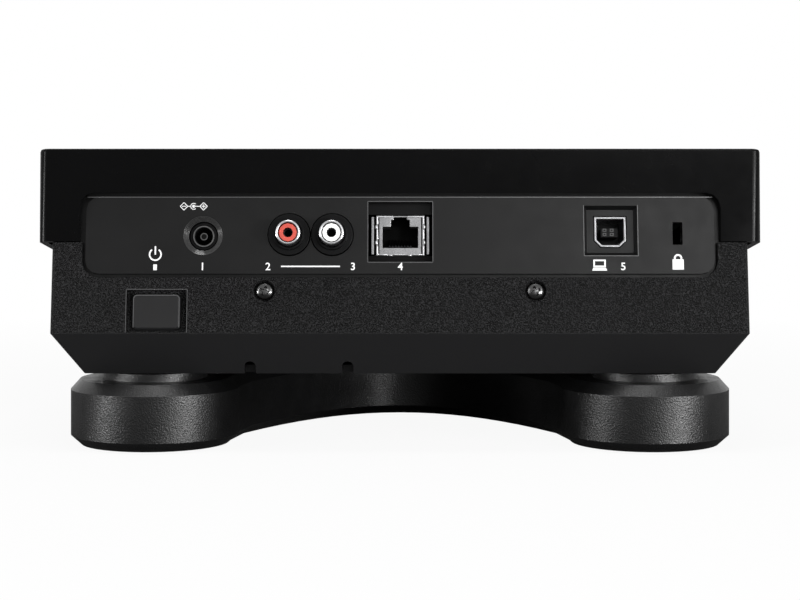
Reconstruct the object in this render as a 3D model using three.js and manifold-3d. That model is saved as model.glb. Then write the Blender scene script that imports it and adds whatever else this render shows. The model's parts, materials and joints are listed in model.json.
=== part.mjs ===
// A compact DJ deck: a wedge-shaped housing on an X-shaped stand with four round feet.
// Millimetres, +Z up. The user stands on the -Y side, and the connectors face +Y.
// The origin lies on the floor under the middle of the bounding box.
import * as THREE from "three";
import { mergeVertices } from "three/addons/utils/BufferGeometryUtils.js";
import Module from "manifold-3d";

const wasm = await Module();
wasm.setup();

// Shared values
const GAP = 0.3;
const OVERRUN = 2;
const ROUND_STEPS = 24;
const FINE_STEPS = 48;
const CORNER_STEPS = 3;

// Housing: the deck leans forward, and its rear edge is the highest
const TILT = THREE.MathUtils.degToRad(8.2);
const REAR_TOP_HEIGHT = 100.5;
const COVER_WIDTH = 239.1;
const COVER_DEPTH = 290;
const COVER_HEIGHT = 30.5;
const COVER_WALL = 2.4;
const COVER_DRAFT = 0.2;
const COVER_CORNER_RADIUS = 3.2;
const COVER_EDGE_ROUND = 0.9;
const TOP_WALL = 3;

// Lower chassis
const CHASSIS_BOTTOM_HEIGHT = 25.5;
const CHASSIS_OVERHANG = 4.3;
const CHASSIS_WALL = 2.6;
const CHASSIS_FLOOR = 2.4;
const CHASSIS_CORNER_RADIUS = 2.5;
const CHASSIS_REAR_SETBACK = 4.2;
const CHASSIS_SKIRT_LAP = 4.2;
const BEVEL_REAR_HEIGHT = 14;
const BEVEL_FRONT_HEIGHT = 3.6;
const BEVEL_INSET = 9.8;
const FOOT_BOSS_RADIUS = 5;
const FOOT_BOSS_HEIGHT = 8;
const COVER_POST_RADIUS = 4;
const COVER_POST_SIDE_INSET = 19.55;
const COVER_POST_SIDE = COVER_WIDTH / 2 - COVER_POST_SIDE_INSET;
const COVER_POST_REAR_INSET = 14;
const COVER_POST_FRONT_INSET = 18;
const STANDOFF_RADIUS = 3;
const STANDOFF_HEIGHT = 6;
const STANDOFF_EDGE_INSET = 8;
const FIRST_NOTCH_SIDE = 17.4;
const NOTCH_SPACING = 32.5;
const NOTCH_PLACES = [FIRST_NOTCH_SIDE, FIRST_NOTCH_SIDE + NOTCH_SPACING];
const NOTCH_WIDTH = 3.8;
const NOTCH_HEIGHT = 4.3;
const NOTCH_DEPTH = 5;

// Stand
const FOOT_RADIUS = 28.6;
const FOOT_SIDE_INSET = 35.85;
const FOOT_SIDE = COVER_WIDTH / 2 - FOOT_SIDE_INSET;
const FOOT_REAR_INSET = 21.5;
const FOOT_HEIGHT = 22.6;
const FOOT_PAD_LIFT = 0.5;
const FOOT_LOWER_CHAMFER = 3.5;
const FOOT_LOWER_CHAMFER_HEIGHT = 3.2;
const FOOT_UPPER_CHAMFER = 3.2;
const FOOT_UPPER_CHAMFER_HEIGHT = 3.5;
const COLLAR_RADIUS = 17.8;
const REAR_NOTCH_DEPTH = 73;
const REAR_NOTCH_FOOT_LAP = 25.9;
const REAR_NOTCH_SPAN = FOOT_SIDE - REAR_NOTCH_FOOT_LAP;
const REAR_NOTCH_END_DROP = 67.8;
const SIDE_NOTCH_WAIST = 37;
const PAD_RADIUS = 20;
const PAD_THICKNESS = 1.2;
const STAND_SCREW_RADIUS = 1.5;
const STAND_SCREW_HEAD_RADIUS = 3.2;
const STAND_SCREW_HEAD_HEIGHT = 2.2;
const STAND_SCREW_SEAT_HEIGHT = 15;
const STAND_SCREW_TIP_MARGIN = 1;

// Rear panel, in the leaning deck's frame
const PANEL_SIDE_MARGIN = 15.55;
const PANEL_WIDTH = COVER_WIDTH - 2 * PANEL_SIDE_MARGIN;
const PANEL_HEIGHT = 25.7;
const PANEL_DROP = 15.5;
const PANEL_CORNER_RADIUS = 4.4;
const PANEL_RECESS = 0.5;
const PANEL_RISE = 2.2;
const PANEL_FLANGE = 1.5;
const PANEL_FLANGE_MARGIN = 4;
const PANEL_SCREW_TAB = 10.5;
const PANEL_SIDE_GROOVE = 1;
const PANEL_LOWER_GROOVE = 1.25;
const CUTOUT_SIDE_GROOVE = 2;
const CUTOUT_TOP_DROP = 14.7;
const CUTOUT_CORNER_RADIUS = 5;

// Rear screws
const REAR_SCREW_EDGE_INSET = 59.3;
const REAR_SCREW_SIDE = PANEL_WIDTH / 2 - REAR_SCREW_EDGE_INSET;
const REAR_SCREW_DROP = 46.9;
const REAR_SCREW_HEAD_RADIUS = 2.9;
const REAR_SCREW_HEAD_HEIGHT = 1.1;
const REAR_SCREW_RADIUS = 1.4;
const REAR_SCREW_LENGTH = 6;
const REAR_SCREW_SINK = 1.3;
const REAR_SCREW_SINK_RADIUS = 3.55;
const CROSS_LENGTH = 3.4;
const CROSS_WIDTH = 0.8;
const CROSS_DEPTH = 0.8;

// Power button in its recess, and the switch behind it
const POWER_EDGE_INSET = 39.45;
const POWER_SIDE = COVER_WIDTH / 2 - POWER_EDGE_INSET;
const POWER_DROP = 53.83;
const POWER_WIDTH = 15.65;
const POWER_HEIGHT = 11.57;
const POWER_CORNER_RADIUS = 1.4;
const POWER_CHAMFER = 0.6;
const POWER_PROUD = 0.2;
const POWER_RECESS_WIDTH = 19.9;
const POWER_RECESS_TOP_DROP = 46.4;
const POWER_RECESS_BOTTOM_DROP = 60.4;
const POWER_RECESS_DEPTH = 1.4;
const POWER_TRAVEL = 1.8;
const POWER_STEM_LENGTH = 3;
const POWER_STEM_WIDTH = 5;
const POWER_SWITCH_WIDTH = 11;
const POWER_SWITCH_DEPTH = 12;
const POWER_SWITCH_HEIGHT = 10;
const SWITCH_RIB_WIDTH = 9;
const SWITCH_RIB_DEPTH = 7;

// Power inlet
const INLET_EDGE_INSET = 38.8;
const INLET_SIDE = PANEL_WIDTH / 2 - INLET_EDGE_INSET;
const INLET_DROP = 28.5;
const INLET_FUNNEL_RADIUS = 6.65;
const INLET_HOLE_RADIUS = 4.9;
const INLET_FUNNEL_DEPTH = 2.4;
const INLET_COLLAR_RADIUS = 4.5;
const INLET_FACE_DEPTH = 2.6;
const INLET_RIM_RADIUS = 3.75;
const INLET_BORE_RADIUS = 2.95;
const INLET_BORE_DEPTH = 9.5;
const INLET_PIN_RADIUS = 1.25;
const INLET_PIN_SETBACK = 1;
const INLET_BODY_WIDTH = 9.4;
const INLET_BODY_DEPTH = 13;
const INLET_BODY_RISE = 5.2;

// Audio jacks
const AUDIO_INLET_SPACING = 28.5;
const AUDIO_PITCH = 14.25;
const AUDIO_PLACES = [INLET_SIDE - AUDIO_INLET_SPACING, INLET_SIDE - AUDIO_INLET_SPACING - AUDIO_PITCH];
const AUDIO_DROP = 28.2;
const AUDIO_RING_RADIUS = 6.9;
const AUDIO_RING_PROUD = 0.8;
const AUDIO_HUB_RADIUS = 5.2;
const AUDIO_HUB_LENGTH = 1.6;
const AUDIO_BARREL_RADIUS = 4.15;
const AUDIO_BARREL_BORE = 3.3;
const AUDIO_BARREL_PROUD = 6.5;
const AUDIO_BARREL_DEPTH = 5;
const AUDIO_INSULATOR_RADIUS = 3;
const AUDIO_INSULATOR_SETBACK = 0.6;
const AUDIO_CONTACT_RADIUS = 1.65;
const AUDIO_BLOCK_DEPTH = 12;
const AUDIO_BLOCK_RISE = 7.2;
const AUDIO_BLOCK_MARGIN = 1.2;

// Network jack
const NETWORK_AUDIO_SPACING = 22.55;
const NETWORK_SIDE = AUDIO_PLACES[1] - NETWORK_AUDIO_SPACING;
const NETWORK_DROP = 27.95;
const NETWORK_WIDTH = 16;
const NETWORK_HEIGHT = 13.3;
const NETWORK_DEPTH = 21;
const NETWORK_SETBACK = 5;
const NETWORK_OPENING_WIDTH = 21.3;
const NETWORK_OPENING_HEIGHT = 20;
const NETWORK_OPENING_DROP = 27.25;
const NETWORK_PORT_WIDTH = 11.9;
const NETWORK_PORT_HEIGHT = 7.1;
const NETWORK_PORT_LOW_MARGIN = 2.5;
const NETWORK_LATCH_WIDTH = 6.3;
const NETWORK_LATCH_HEIGHT = 2.3;
const NETWORK_KEY_WIDTH = 4.4;
const NETWORK_KEY_HEIGHT = 0.9;
const NETWORK_PORT_DEPTH = 14;
const NETWORK_SPRING_THICKNESS = 0.8;
const NETWORK_SPRING_STANDOFF = 0.8;
const NETWORK_SPRING_HEIGHT = 12.6;
const NETWORK_SPRING_LENGTH = 5;
const NETWORK_SPRING_BRIDGE = 1;
const NETWORK_INSERT_HEIGHT = 5;
const NETWORK_INSERT_DEPTH = 3;

// USB type B jack
const USB_B_EDGE_INSET = 34.2;
const USB_B_SIDE = USB_B_EDGE_INSET - PANEL_WIDTH / 2;
const USB_B_DROP = 27.05;
const USB_B_WIDTH = 10.5;
const USB_B_HEIGHT = 10.1;
const USB_B_CORNER_CUT = 2.2;
const USB_B_WALL = 0.7;
const USB_B_DEPTH = 15;
const USB_B_BACK = 2;
const USB_B_POCKET_WIDTH = 17.7;
const USB_B_POCKET_HEIGHT = 16.6;
const USB_B_POCKET_DROP = 26.85;
const USB_B_POCKET_DEPTH = 2.4;
const USB_B_POCKET_TAPER = 1.1;
const USB_B_TONGUE_WIDTH = 5.6;
const USB_B_TONGUE_HEIGHT = 2.9;
const USB_B_TONGUE_SETBACK = 2.5;
const USB_B_TONGUE_BASE = 1.5;

// Lock slot
const LOCK_EDGE_INSET = 12.15;
const LOCK_SIDE = LOCK_EDGE_INSET - PANEL_WIDTH / 2;
const LOCK_DROP = 27.8;
const LOCK_WIDTH = 3.3;
const LOCK_HEIGHT = 7.5;
const LOCK_PLATE_WIDTH = 13;
const LOCK_PLATE_HEIGHT = 14;
const LOCK_PLATE_THICKNESS = 1.5;

// Boards
const BOARD_THICKNESS = 1.6;
const IO_BOARD_SIDE_MARGIN = 12;
const IO_BOARD_WIDTH = PANEL_WIDTH - 2 * IO_BOARD_SIDE_MARGIN;
const IO_BOARD_START = 14;
const IO_BOARD_DEPTH = 44;
const IO_POST_SIDE = 56;
const IO_POST_INSET = 40;
const MAIN_BOARD_SIDE_INSET = 31.55;
const MAIN_BOARD_REAR_INSET = 76;
const MAIN_BOARD_FRONT_INSET = 78;
const MAIN_BOARD_WIDTH = COVER_WIDTH - 2 * MAIN_BOARD_SIDE_INSET;
const MAIN_BOARD_DEPTH = COVER_DEPTH - MAIN_BOARD_REAR_INSET - MAIN_BOARD_FRONT_INSET;
const CHIP_SIZE = 24;
const CHIP_HEIGHT = 2.2;
const CHIP_EDGE_INSET = 36;
const CHIP_SPREAD = MAIN_BOARD_WIDTH / 2 - CHIP_EDGE_INSET;
const CONTROL_BOARD_SIDE_INSET = 8.55;
const CONTROL_BOARD_WIDTH = COVER_WIDTH - 2 * CONTROL_BOARD_SIDE_INSET;
const CONTROL_BOARD_REAR_INSET = 22;
const CONTROL_BOARD_FRONT_INSET = 26;
const CONTROL_BOARD_CUT_MARGIN = 1.2;
const PEG_RADIUS = 2.5;
const PEG_SIDE_INSET = 43.55;
const PEG_DISPLAY_GAP = 8;
const PEG_FRONT_INSET = 28;

// Display
const DISPLAY_SIDE_MARGIN = 49.55;
const DISPLAY_REAR_INSET = 20;
const DISPLAY_FRONT_INSET = 186;
const DISPLAY_WIDTH = COVER_WIDTH - 2 * DISPLAY_SIDE_MARGIN;
const DISPLAY_HEIGHT = COVER_DEPTH - DISPLAY_REAR_INSET - DISPLAY_FRONT_INSET;
const DISPLAY_CORNER_RADIUS = 3;
const DISPLAY_GLASS = 1.3;
const DISPLAY_LEDGE = 8;
const DISPLAY_MODULE_THICKNESS = 4.2;
const DISPLAY_MODULE_INSET = 4;

// Jog wheel
const JOG_FRONT_INSET = 94;
const JOG_SIDE_BAND = 44.55;
const JOG_INSET = COVER_DEPTH - JOG_FRONT_INSET;
const JOG_RADIUS = COVER_WIDTH / 2 - JOG_SIDE_BAND;
const JOG_LIFT = 1;
const JOG_SKIRT_HEIGHT = 4;
const JOG_HEIGHT = 14.5;
const JOG_FLANK = 9;
const JOG_TOP_RADIUS = JOG_RADIUS - JOG_FLANK;
const JOG_RIM_ROUND = 1.4;
const JOG_WALL = 2.4;
const JOG_RIM_WIDTH = 6;
const JOG_DISH_RADIUS = JOG_TOP_RADIUS - JOG_RIM_WIDTH;
const JOG_DISH_DEPTH = 1.3;
const JOG_PLATE_THICKNESS = 0.8;
const JOG_HUB_RADIUS = 9;
const JOG_SHAFT_RADIUS = 4;
const JOG_SHAFT_TOP = 10;
const JOG_SHAFT_LOWER_RADIUS = 3;
const JOG_SHAFT_BOTTOM = 20;
const JOG_CLIP_RADIUS = 6;
const JOG_CLIP_THICKNESS = 1;
const BEARING_RADIUS = 8;
const BEARING_BOTTOM = 14;
const BEARING_TOP = 0.6;
const BEARING_FLANGE_RADIUS = 15;
const BEARING_FLANGE_THICKNESS = 2;
const ENCODER_RADIUS = 22;
const ENCODER_THICKNESS = 1.2;
const ENCODER_DROP = 17;
const ENCODER_SLOTS = 20;
const ENCODER_SLOT_WIDTH = 1.6;
const ENCODER_SLOT_LENGTH = 3.4;
const ENCODER_SLOT_MARGIN = 1.4;
const SENSOR_WIDTH = 10;
const SENSOR_DEPTH = 8;
const SENSOR_REACH = 5;
const SENSOR_JAW = 2;
const SENSOR_CLEARANCE = 1;

// The controls stand in two columns beside the jog wheel
const COLUMN_SIDE_INSET = 22.55;
const COLUMN_SIDE = COVER_WIDTH / 2 - COLUMN_SIDE_INSET;

// Tempo fader
const FADER_FRONT_INSET = 85;
const FADER_INSET = COVER_DEPTH - FADER_FRONT_INSET;
const FADER_TRAVEL = 60;
const FADER_SLOT_WIDTH = 4;
const FADER_BODY_WIDTH = 12;
const FADER_BODY_LENGTH = 84;
const FADER_BODY_HEIGHT = 9.5;
const FADER_CHANNEL_DEPTH = 7.5;
const FADER_LEVER_WIDTH = 2.6;
const FADER_LEVER_LENGTH = 6;
const FADER_LEVER_REACH = 8;
const FADER_CAP_WIDTH = 21;
const FADER_CAP_LENGTH = 12;
const FADER_CAP_HEIGHT = 9;
const FADER_CAP_LIFT = 1;
const FADER_CAP_TAPER = 1.8;
const FADER_CAP_RADIUS = 1.5;

// Rotary selector that turns and can be pushed
const SELECTOR_INSET = 65;
const SELECTOR_RADIUS = 12.5;
const SELECTOR_TOP_RADIUS = 11;
const SELECTOR_HEIGHT = 6.5;
const SELECTOR_LIFT = 1.2;
const SELECTOR_EDGE = 0.8;
const SELECTOR_SHAFT_RADIUS = 3;
const SELECTOR_SHAFT_REACH = 6.6;
const SELECTOR_PLUNGER_RADIUS = 2.4;
const SELECTOR_PUSH = 0.6;
const SELECTOR_BODY_WIDTH = 13;
const SELECTOR_BODY_TOP = 3.6;
const SELECTOR_FLOOR = 0.4;

// Buttons on the top
const BUTTON_CLEARANCE = 0.35;
const BUTTON_RISE = 1.6;
const BUTTON_CHAMFER = 0.4;
const BUTTON_TRAVEL = 1;
const BUTTON_FLANGE = 1;
const BUTTON_FLANGE_LIP = 1.1;
const BUTTON_STEM_LENGTH = 0.9;
const BUTTON_STEM_WIDTH = 4;
const SWITCH_SIZE = 6;
const SWITCH_HEIGHT = 3.2;
const BUTTON_PAIR_SPREAD = 9;
const KEY_WIDTH = 14.5;
const KEY_DEPTH = 8.5;
const KEY_RADIUS = 1.5;
const TRANSPORT_DIAMETER = 26;
const SMALL_DIAMETER = 9;
const PAD_ROW_SPACING = 15;
const PAD_ROW_FRONT_INSET = 151;
const TRACK_ROW_FRONT_INSET = 133;
const SEARCH_ROW_FRONT_INSET = 118;
const CUE_FRONT_INSET = 87;
const PLAY_FRONT_INSET = 51;
const TEMPO_ROW_SPACING = 15;
const RANGE_FADER_GAP = 11;
const MENU_ROW_INSET = 34;
const STOP_INSET = 60;

// USB type A socket in the top
const USB_A_INSET = 42;
const USB_A_WIDTH = 13.6;
const USB_A_HEIGHT = 6.4;
const USB_A_WALL = 0.5;
const USB_A_DEPTH = 14;
const USB_A_SINK = 0.6;
const USB_A_FLOOR = 1.5;
const USB_A_TONGUE_THICKNESS = 1.9;
const USB_A_TONGUE_SETBACK = 1.5;
const USB_A_TONGUE_SIDE_GAP = 0.8;
const USB_A_TONGUE_OFFSET = 1;

// Heights below the deck's top plane that several pieces share
const FLANGE_TOP = TOP_WALL + GAP;
const STEM_BOTTOM = FLANGE_TOP + BUTTON_FLANGE + BUTTON_STEM_LENGTH;
const SWITCH_TOP = STEM_BOTTOM + BUTTON_TRAVEL + GAP;
const CONTROL_BOARD_TOP = SWITCH_TOP + SWITCH_HEIGHT;
const CONTROL_BOARD_BOTTOM = CONTROL_BOARD_TOP + BOARD_THICKNESS;
const IO_BOARD_TOP = NETWORK_DROP + NETWORK_HEIGHT / 2 + GAP;
const IO_BOARD_BOTTOM = IO_BOARD_TOP + BOARD_THICKNESS;
const PANEL_FACE = -(CHASSIS_REAR_SETBACK + PANEL_RECESS);
const PANEL_BACK = PANEL_FACE - PANEL_RISE - PANEL_FLANGE;
const CHASSIS_WALL_BACK = -(CHASSIS_REAR_SETBACK + CHASSIS_WALL);
const FOOT_REACH = FOOT_RADIUS - FOOT_REAR_INSET;
const CHASSIS_FRONT = COVER_DEPTH - CHASSIS_OVERHANG;
const CHASSIS_BOTTOM_REAR = rearWallPlan(CHASSIS_BOTTOM_HEIGHT + BEVEL_REAR_HEIGHT) - BEVEL_INSET;
const CHASSIS_BOTTOM_FRONT = CHASSIS_FRONT - BEVEL_INSET;
const FOOT_FRONT_INSET = CHASSIS_BOTTOM_FRONT - CHASSIS_BOTTOM_REAR - FOOT_REAR_INSET;
const STAND_CENTRE = -(FOOT_REAR_INSET + FOOT_FRONT_INSET) / 2;

const deckMatrix = new THREE.Matrix4()
  .makeTranslation(0, 0, REAR_TOP_HEIGHT)
  .multiply(new THREE.Matrix4().makeRotationX(TILT));

// Where the leaning rear wall of the chassis stands, front to back, at a height
function rearWallPlan(height) {
  const below = REAR_TOP_HEIGHT - height;
  return (below * Math.sin(TILT) - CHASSIS_REAR_SETBACK) / Math.cos(TILT);
}

// Height of a plane parallel to the deck's top, a drop below it, over a point of the plan
function deckHeight(plan, drop) {
  return REAR_TOP_HEIGHT + plan * Math.tan(TILT) - drop / Math.cos(TILT);
}

// One closed solid facing out, with shared vertices merged and empty triangles dropped
function clean(geometry) {
  const bare = new THREE.BufferGeometry();
  bare.setAttribute("position", geometry.getAttribute("position"));
  bare.setIndex(geometry.getIndex());
  const merged = mergeVertices(bare, 1e-4);
  const points = merged.getAttribute("position");
  const source = merged.index.array;
  const faces = [];
  let volume = 0;
  const a = new THREE.Vector3();
  const b = new THREE.Vector3();
  const c = new THREE.Vector3();
  for (let i = 0; i < source.length; i += 3) {
    const [p, q, r] = [source[i], source[i + 1], source[i + 2]];
    if (p === q || q === r || r === p) continue;
    faces.push(p, q, r);
    a.fromBufferAttribute(points, p);
    b.fromBufferAttribute(points, q);
    c.fromBufferAttribute(points, r);
    volume += a.dot(b.cross(c));
  }
  if (volume < 0) faces.reverse();
  merged.setIndex(faces);
  return merged;
}

function toSolid(geometry) {
  const ready = clean(geometry);
  return new wasm.Manifold(
    new wasm.Mesh({
      numProp: 3,
      vertProperties: ready.getAttribute("position").array,
      triVerts: new Uint32Array(ready.index.array),
    }),
  );
}

function toGeometry(solid) {
  const mesh = solid.getMesh();
  const geometry = new THREE.BufferGeometry();
  geometry.setAttribute("position", new THREE.BufferAttribute(new Float32Array(mesh.vertProperties), 3));
  geometry.setIndex(Array.from(mesh.triVerts));
  return geometry;
}

function join(...geometries) {
  return toGeometry(geometries.map(toSolid).reduce((whole, piece) => whole.add(piece)));
}

function cut(base, ...tools) {
  return toGeometry(tools.reduce((rest, tool) => rest.subtract(toSolid(tool)), toSolid(base)));
}

// Outlines are lists of plan points, counter-clockwise
function roundedRectangle(width, depth, radius, x = 0, y = 0, steps = CORNER_STEPS) {
  const points = [];
  const corners = [
    [1, 1],
    [-1, 1],
    [-1, -1],
    [1, -1],
  ];
  corners.forEach(([sideX, sideY], quarter) => {
    const centreX = x + sideX * (width / 2 - radius);
    const centreY = y + sideY * (depth / 2 - radius);
    for (let step = 0; step <= steps; step++) {
      const angle = (quarter + step / steps) * (Math.PI / 2);
      points.push(new THREE.Vector2(centreX + radius * Math.cos(angle), centreY + radius * Math.sin(angle)));
    }
  });
  return points;
}

function circle(radius, x = 0, y = 0, steps = ROUND_STEPS) {
  return Array.from({ length: steps }, (_, step) => {
    const angle = (2 * Math.PI * step) / steps;
    return new THREE.Vector2(x + radius * Math.cos(angle), y + radius * Math.sin(angle));
  });
}

function level(outline, height) {
  return outline.map((point) => new THREE.Vector3(point.x, point.y, height));
}

function onDeck(outline, drop) {
  return outline.map((point) => new THREE.Vector3(point.x, point.y, deckHeight(point.y, drop)));
}

// A closed body through rings of equally many points, lowest ring first
function loft(rings) {
  const count = rings[0].length;
  const positions = rings.flat().flatMap((point) => [point.x, point.y, point.z]);
  const index = [];
  for (let ring = 0; ring + 1 < rings.length; ring++) {
    for (let step = 0; step < count; step++) {
      const here = ring * count + step;
      const next = ring * count + ((step + 1) % count);
      index.push(here, next, next + count, here, next + count, here + count);
    }
  }
  const lastRing = (rings.length - 1) * count;
  const lower = rings[0].map((point) => new THREE.Vector2(point.x, point.y));
  for (const [a, b, c] of THREE.ShapeUtils.triangulateShape(lower, [])) index.push(c, b, a);
  const upper = rings.at(-1).map((point) => new THREE.Vector2(point.x, point.y));
  for (const [a, b, c] of THREE.ShapeUtils.triangulateShape(upper, [])) {
    index.push(a + lastRing, b + lastRing, c + lastRing);
  }
  const geometry = new THREE.BufferGeometry();
  geometry.setAttribute("position", new THREE.Float32BufferAttribute(positions, 3));
  geometry.setIndex(index);
  return geometry;
}

function prism(outline, from, to) {
  return loft([level(outline, Math.min(from, to)), level(outline, Math.max(from, to))]);
}

function block(width, depth, height, x, y, z) {
  return new THREE.BoxGeometry(width, depth, height).translate(x, y, z);
}

// A turned body about the Z axis through [radius, height] points
function turned(profile, steps = ROUND_STEPS) {
  const points = profile.map(([radius, height]) => new THREE.Vector2(radius, height));
  return new THREE.LatheGeometry(points, steps).rotateX(Math.PI / 2);
}

// Turns a body built along +Z so that +Z faces the rear and the plan's +Y faces down
function faceRear(geometry) {
  return geometry.rotateX(-Math.PI / 2);
}

// A body through the rear wall: its outline is in width and drop, between two depths
function rearPrism(outline, from, to) {
  return faceRear(prism(outline, from, to));
}

function inDeckFrame(geometry) {
  return geometry.applyMatrix4(deckMatrix);
}

function finish(color, roughness, metalness = 0) {
  return new THREE.MeshStandardMaterial({ color, roughness, metalness });
}

const finishes = {
  gloss: () => finish(0x141416, 0.25),
  grain: () => finish(0x26262a, 0.6),
  panel: () => finish(0x2f2f32, 0.5),
  stand: () => finish(0x1e1e20, 0.45),
  rubber: () => finish(0x101010, 0.9),
  black: () => finish(0x0c0c0d, 0.5),
  button: () => finish(0x3a3a3d, 0.45),
  steel: () => finish(0xb8bcc0, 0.3, 1),
  dark: () => finish(0x202022, 0.4, 0.8),
  red: () => finish(0xc4342b, 0.4),
  white: () => finish(0xf0f0ee, 0.4),
  board: () => finish(0x1f5a34, 0.6),
  glass: () => finish(0x0a0c10, 0.05),
  platter: () => finish(0x2b2b2e, 0.35, 0.3),
};

const device = new THREE.Group();
device.position.y = (COVER_DEPTH + COVER_DRAFT - FOOT_REACH) / 2;
const deck = new THREE.Group();
deck.position.z = REAR_TOP_HEIGHT;
deck.rotation.x = TILT;
device.add(deck);

function add(parent, name, geometry, material, x = 0, y = 0, z = 0) {
  const mesh = new THREE.Mesh(clean(geometry), material);
  mesh.name = name;
  mesh.position.set(x, y, z);
  parent.add(mesh);
  return mesh;
}

// The top buttons: name, centre across, inset from the rear edge, width, depth and corner radius
function buttonPlan() {
  const key = (name, x, inset) => {
    return { name, x, inset, width: KEY_WIDTH, depth: KEY_DEPTH, radius: KEY_RADIUS, steps: CORNER_STEPS };
  };
  const round = (name, x, inset, diameter) => {
    const steps = ROUND_STEPS / 4;
    return { name, x, inset, width: diameter, depth: diameter, radius: diameter / 2, steps };
  };
  const left = -COLUMN_SIDE;
  const right = COLUMN_SIDE;
  const spread = BUTTON_PAIR_SPREAD;
  const pads = COVER_DEPTH - PAD_ROW_FRONT_INSET;
  const track = COVER_DEPTH - TRACK_ROW_FRONT_INSET;
  const search = COVER_DEPTH - SEARCH_ROW_FRONT_INSET;
  const range = FADER_INSET - FADER_BODY_LENGTH / 2 - RANGE_FADER_GAP;
  return [
    key("pad_button_1", left - spread, pads - PAD_ROW_SPACING),
    key("pad_button_2", left + spread, pads - PAD_ROW_SPACING),
    key("pad_button_3", left - spread, pads),
    key("pad_button_4", left + spread, pads),
    key("track_back_button", left - spread, track),
    key("track_forward_button", left + spread, track),
    key("search_back_button", left - spread, search),
    key("search_forward_button", left + spread, search),
    key("sync_button", right - spread, range - TEMPO_ROW_SPACING),
    key("master_tempo_button", right + spread, range - TEMPO_ROW_SPACING),
    key("tempo_range_button", right, range),
    key("back_button", right - spread, MENU_ROW_INSET),
    key("menu_button", right + spread, MENU_ROW_INSET),
    round("usb_stop_button", left, STOP_INSET, SMALL_DIAMETER),
    round("cue_button", left, COVER_DEPTH - CUE_FRONT_INSET, TRANSPORT_DIAMETER),
    round("play_button", left, COVER_DEPTH - PLAY_FRONT_INSET, TRANSPORT_DIAMETER),
  ];
}

function displayOutline(inset, clearance = 0) {
  const width = DISPLAY_WIDTH + 2 * (clearance - inset);
  const height = DISPLAY_HEIGHT + 2 * (clearance - inset);
  const radius = Math.max(DISPLAY_CORNER_RADIUS + clearance - inset, DISPLAY_CORNER_RADIUS / 2);
  return roundedRectangle(width, height, radius, 0, -(DISPLAY_REAR_INSET + DISPLAY_HEIGHT / 2));
}

function coverOutline(inset) {
  const radius = COVER_CORNER_RADIUS - Math.min(inset, COVER_CORNER_RADIUS / 2);
  return roundedRectangle(COVER_WIDTH - 2 * inset, COVER_DEPTH - 2 * inset, radius, 0, -COVER_DEPTH / 2);
}

// The cover's upright shell between two planes parallel to the deck
function coverShell() {
  const softened = COVER_EDGE_ROUND * (1 - Math.SQRT1_2);
  const outer = loft([
    onDeck(coverOutline(-COVER_DRAFT), COVER_HEIGHT),
    onDeck(coverOutline(0), COVER_EDGE_ROUND),
    onDeck(coverOutline(softened), softened),
    onDeck(coverOutline(COVER_EDGE_ROUND), 0),
  ]);
  const inner = loft([
    onDeck(coverOutline(COVER_WALL), COVER_HEIGHT + OVERRUN),
    onDeck(coverOutline(COVER_WALL), TOP_WALL),
  ]);
  return cut(outer, inner);
}

// The rounded opening in the cover's rear wall, open at the bottom
function coverRearOpening() {
  const bottom = deckHeight(0, COVER_HEIGHT) - OVERRUN;
  const top = REAR_TOP_HEIGHT - CUTOUT_TOP_DROP;
  const height = top - bottom + CUTOUT_CORNER_RADIUS;
  const middle = top - height / 2;
  const width = PANEL_WIDTH + 2 * CUTOUT_SIDE_GROOVE;
  const outline = roundedRectangle(width, height, CUTOUT_CORNER_RADIUS, 0, -middle);
  return rearPrism(outline, -COVER_WALL - OVERRUN, OVERRUN);
}

function throughTop(outline) {
  return inDeckFrame(prism(outline, -TOP_WALL - OVERRUN, OVERRUN));
}

function faderSlot(length) {
  return roundedRectangle(FADER_SLOT_WIDTH, length, FADER_SLOT_WIDTH / 4, COLUMN_SIDE, -FADER_INSET);
}

function usbAOutline(clearance) {
  const width = USB_A_WIDTH + 2 * clearance;
  const depth = USB_A_HEIGHT + 2 * clearance;
  return roundedRectangle(width, depth, USB_A_WALL, -COLUMN_SIDE, -USB_A_INSET);
}

function topCover() {
  const buttonHoles = buttonPlan().map(({ x, inset, width, depth, radius, steps }) => {
    const grow = 2 * BUTTON_CLEARANCE;
    const corner = radius + BUTTON_CLEARANCE;
    return throughTop(roundedRectangle(width + grow, depth + grow, corner, x, -inset, steps));
  });
  const glassSeat = inDeckFrame(prism(displayOutline(0, GAP), -DISPLAY_GLASS - GAP, OVERRUN));
  const pegSide = COVER_WIDTH / 2 - PEG_SIDE_INSET;
  const pegInsets = [DISPLAY_REAR_INSET + DISPLAY_HEIGHT + PEG_DISPLAY_GAP, COVER_DEPTH - PEG_FRONT_INSET];
  const pegs = [-pegSide, pegSide].flatMap((x) =>
    pegInsets.map((inset) => {
      const outline = circle(PEG_RADIUS, x, -inset, ROUND_STEPS / 3);
      return inDeckFrame(prism(outline, -CONTROL_BOARD_TOP + GAP, -TOP_WALL / 2));
    }),
  );
  const leverRun = FADER_TRAVEL + FADER_LEVER_LENGTH + 2 * OVERRUN;
  const shell = cut(
    coverShell(),
    coverRearOpening(),
    glassSeat,
    throughTop(displayOutline(DISPLAY_LEDGE)),
    throughTop(circle(BEARING_RADIUS + GAP, 0, -JOG_INSET)),
    throughTop(faderSlot(leverRun)),
    throughTop(circle(SELECTOR_SHAFT_RADIUS + GAP, COLUMN_SIDE, -SELECTOR_INSET)),
    throughTop(usbAOutline(GAP)),
    ...buttonHoles,
  );
  return join(shell, ...pegs);
}

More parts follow.
